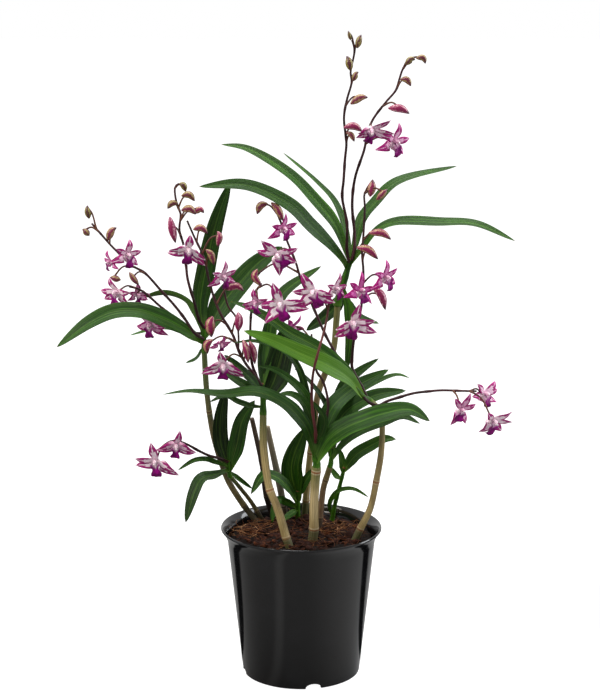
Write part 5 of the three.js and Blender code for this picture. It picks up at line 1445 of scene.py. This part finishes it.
studio = {
    "cameraAt": (-0.001, -1.5, 0.597),  # from the pot's foot
    "pitch": 12.38,  # degrees down
    "sensor": 24,
    "focalPixels": 1933,  # for a picture as many pixels tall as the next value
    "picturePixels": 700,
    "clip": (0.05, 20),
    "exposure": 0.0,
    "surround": 0.95,  # light from all around
    "frontShade": 0.55,  # how dim the surround is behind the camera
    "floorGlow": 1.0,  # seen by the camera only
    "floorDrop": 0.0006,
    "aimHeight": 0.26,
    "softboxes": [  # place from the pot's foot, size, power, colour
        {"at": (-1.4, -0.9, 1.7), "size": (1.2, 1.2), "power": 38, "tint": "#fffaf2"},
        {"at": (1.6, 0.3, 0.9), "size": (0.6, 1.6), "power": 22, "tint": "#f6faff"},
        {"at": (0.1, 0.3, 2.0), "size": (1.4, 1.0), "power": 32, "tint": "#ffffff"},
    ],
}
paper = {  # how pale the floor's paper is round the pot, by the cosine off straight behind it
    "front": 0.19,
    "frontRight": 0.12,  # how much paler at the right
    "rightEdge": (0.1, 0.95),
    "behind": 0.2,
    "darkCards": (0.34, 0.62),  # a dark card at each side
    "cardEdges": (0.06, 0.03),
    "stripe": 0.32,
    "stripeAt": -0.53,
    "stripeEdge": (0.02, 0.16),
    "shades": ("#141415", "#ffffff"),
}


def paperShade(tree):  # the pot mirrors the paper, which gives its upright dark and pale bands
    x, y, _ = apart(tree, placed(tree))
    right = calc(tree, "SUBTRACT", x, float(potFoot[0]))
    away = calc(tree, "SUBTRACT", y, float(potFoot[1]))
    reach = calc(tree, "SQRT", calc(tree, "MULTIPLY_ADD", right, right, times(tree, away, away)))
    behind, side = calc(tree, "DIVIDE", away, reach), calc(tree, "DIVIDE", right, reach)
    near, far = paper["darkCards"]
    nearEdge, farEdge = paper["cardEdges"]
    back = times(tree, step(tree, behind, far - farEdge, far + farEdge), paper["behind"])
    front = step(tree, side, *paper["rightEdge"])
    front = calc(tree, "MULTIPLY_ADD", front, paper["frontRight"], paper["front"])
    front = times(tree, opposite(tree, step(tree, behind, near - nearEdge, near)), front)
    offStripe = calc(tree, "ABSOLUTE", plus(tree, side, -paper["stripeAt"]))
    stripe = opposite(tree, step(tree, offStripe, *paper["stripeEdge"]))
    stripe = times(tree, stripe, calc(tree, "LESS_THAN", behind, 0.0))
    stripe = calc(tree, "MULTIPLY_ADD", stripe, paper["stripe"] - paper["front"], front)
    return mixColour(tree, plus(tree, back, stripe), *paper["shades"])


def makeCamera():
    camera = linked("camera", bpy.data.cameras.new("camera"))
    camera.data.sensor_fit = "VERTICAL"
    camera.data.sensor_height = studio["sensor"]
    camera.data.lens = studio["sensor"] * studio["focalPixels"] / studio["picturePixels"]
    camera.data.clip_start, camera.data.clip_end = studio["clip"]
    camera.location = Vector(studio["cameraAt"]) + Vector(potFoot)
    camera.rotation_euler = (math.radians(90 - studio["pitch"]), 0, 0)
    scene.camera = camera


def makeFloor():
    mesh = bpy.data.meshes.new("floor")
    z = -studio["floorDrop"]
    mesh.from_pydata([(-6, -3, z), (6, -3, z), (6, 9, z), (-6, 9, z)], [], [(0, 1, 2, 3)])
    material, tree = newMaterial("floor")
    seen = addNode(tree, "ShaderNodeLightPath", {}, "Is Camera Ray")
    feeds = {"Base Color": paperShade(tree), "Roughness": 0.9, "Specular IOR Level": 0.0,
             "Emission Color": (1, 1, 1, 1), "Emission Strength": times(tree, seen, studio["floorGlow"])}
    mesh.materials.append(coated(material, feeds))
    linked("floor", mesh)


def makeSurround():
    world = bpy.data.worlds.new("surround")
    scene.world = world
    world.use_nodes = True
    tree = world.node_tree
    tree.nodes.clear()
    _, back, _ = apart(tree, addNode(tree, "ShaderNodeTexCoord", {}, "Generated"))
    full, dim = studio["surround"], studio["frontShade"]
    strength = calc(tree, "MULTIPLY_ADD", step(tree, back, -0.7, 0.3), full - dim, dim)
    light = addNode(tree, "ShaderNodeBackground", {"Color": (1, 1, 1, 1), "Strength": strength})
    plain = addNode(tree, "ShaderNodeBackground", {"Color": (1, 1, 1, 1)})
    seen = addNode(tree, "ShaderNodeLightPath", {}, "Is Camera Ray")
    both = addNode(tree, "ShaderNodeMixShader", {0: seen, 1: light, 2: plain})
    tree.links.new(both, tree.nodes.new("ShaderNodeOutputWorld").inputs[0])


def makeSoftbox(name, at, size, power, tint):
    lamp = linked(name, bpy.data.lights.new(name, "AREA"))
    lamp.data.shape = "RECTANGLE"
    lamp.data.size, lamp.data.size_y = size
    lamp.data.energy = power
    lamp.data.color = colour(tint)[:3]
    lamp.location = Vector(at) + Vector(potFoot)
    target = Vector(potFoot) + Vector((0, 0, studio["aimHeight"]))
    lamp.rotation_euler = (target - lamp.location).to_track_quat("-Z", "Y").to_euler()


makeCamera()
makeFloor()
makeSurround()
for i, box in enumerate(studio["softboxes"]):
    makeSoftbox("softbox" + str(i), **box)
scene.view_settings.view_transform = "Standard"
scene.view_settings.exposure = studio["exposure"]
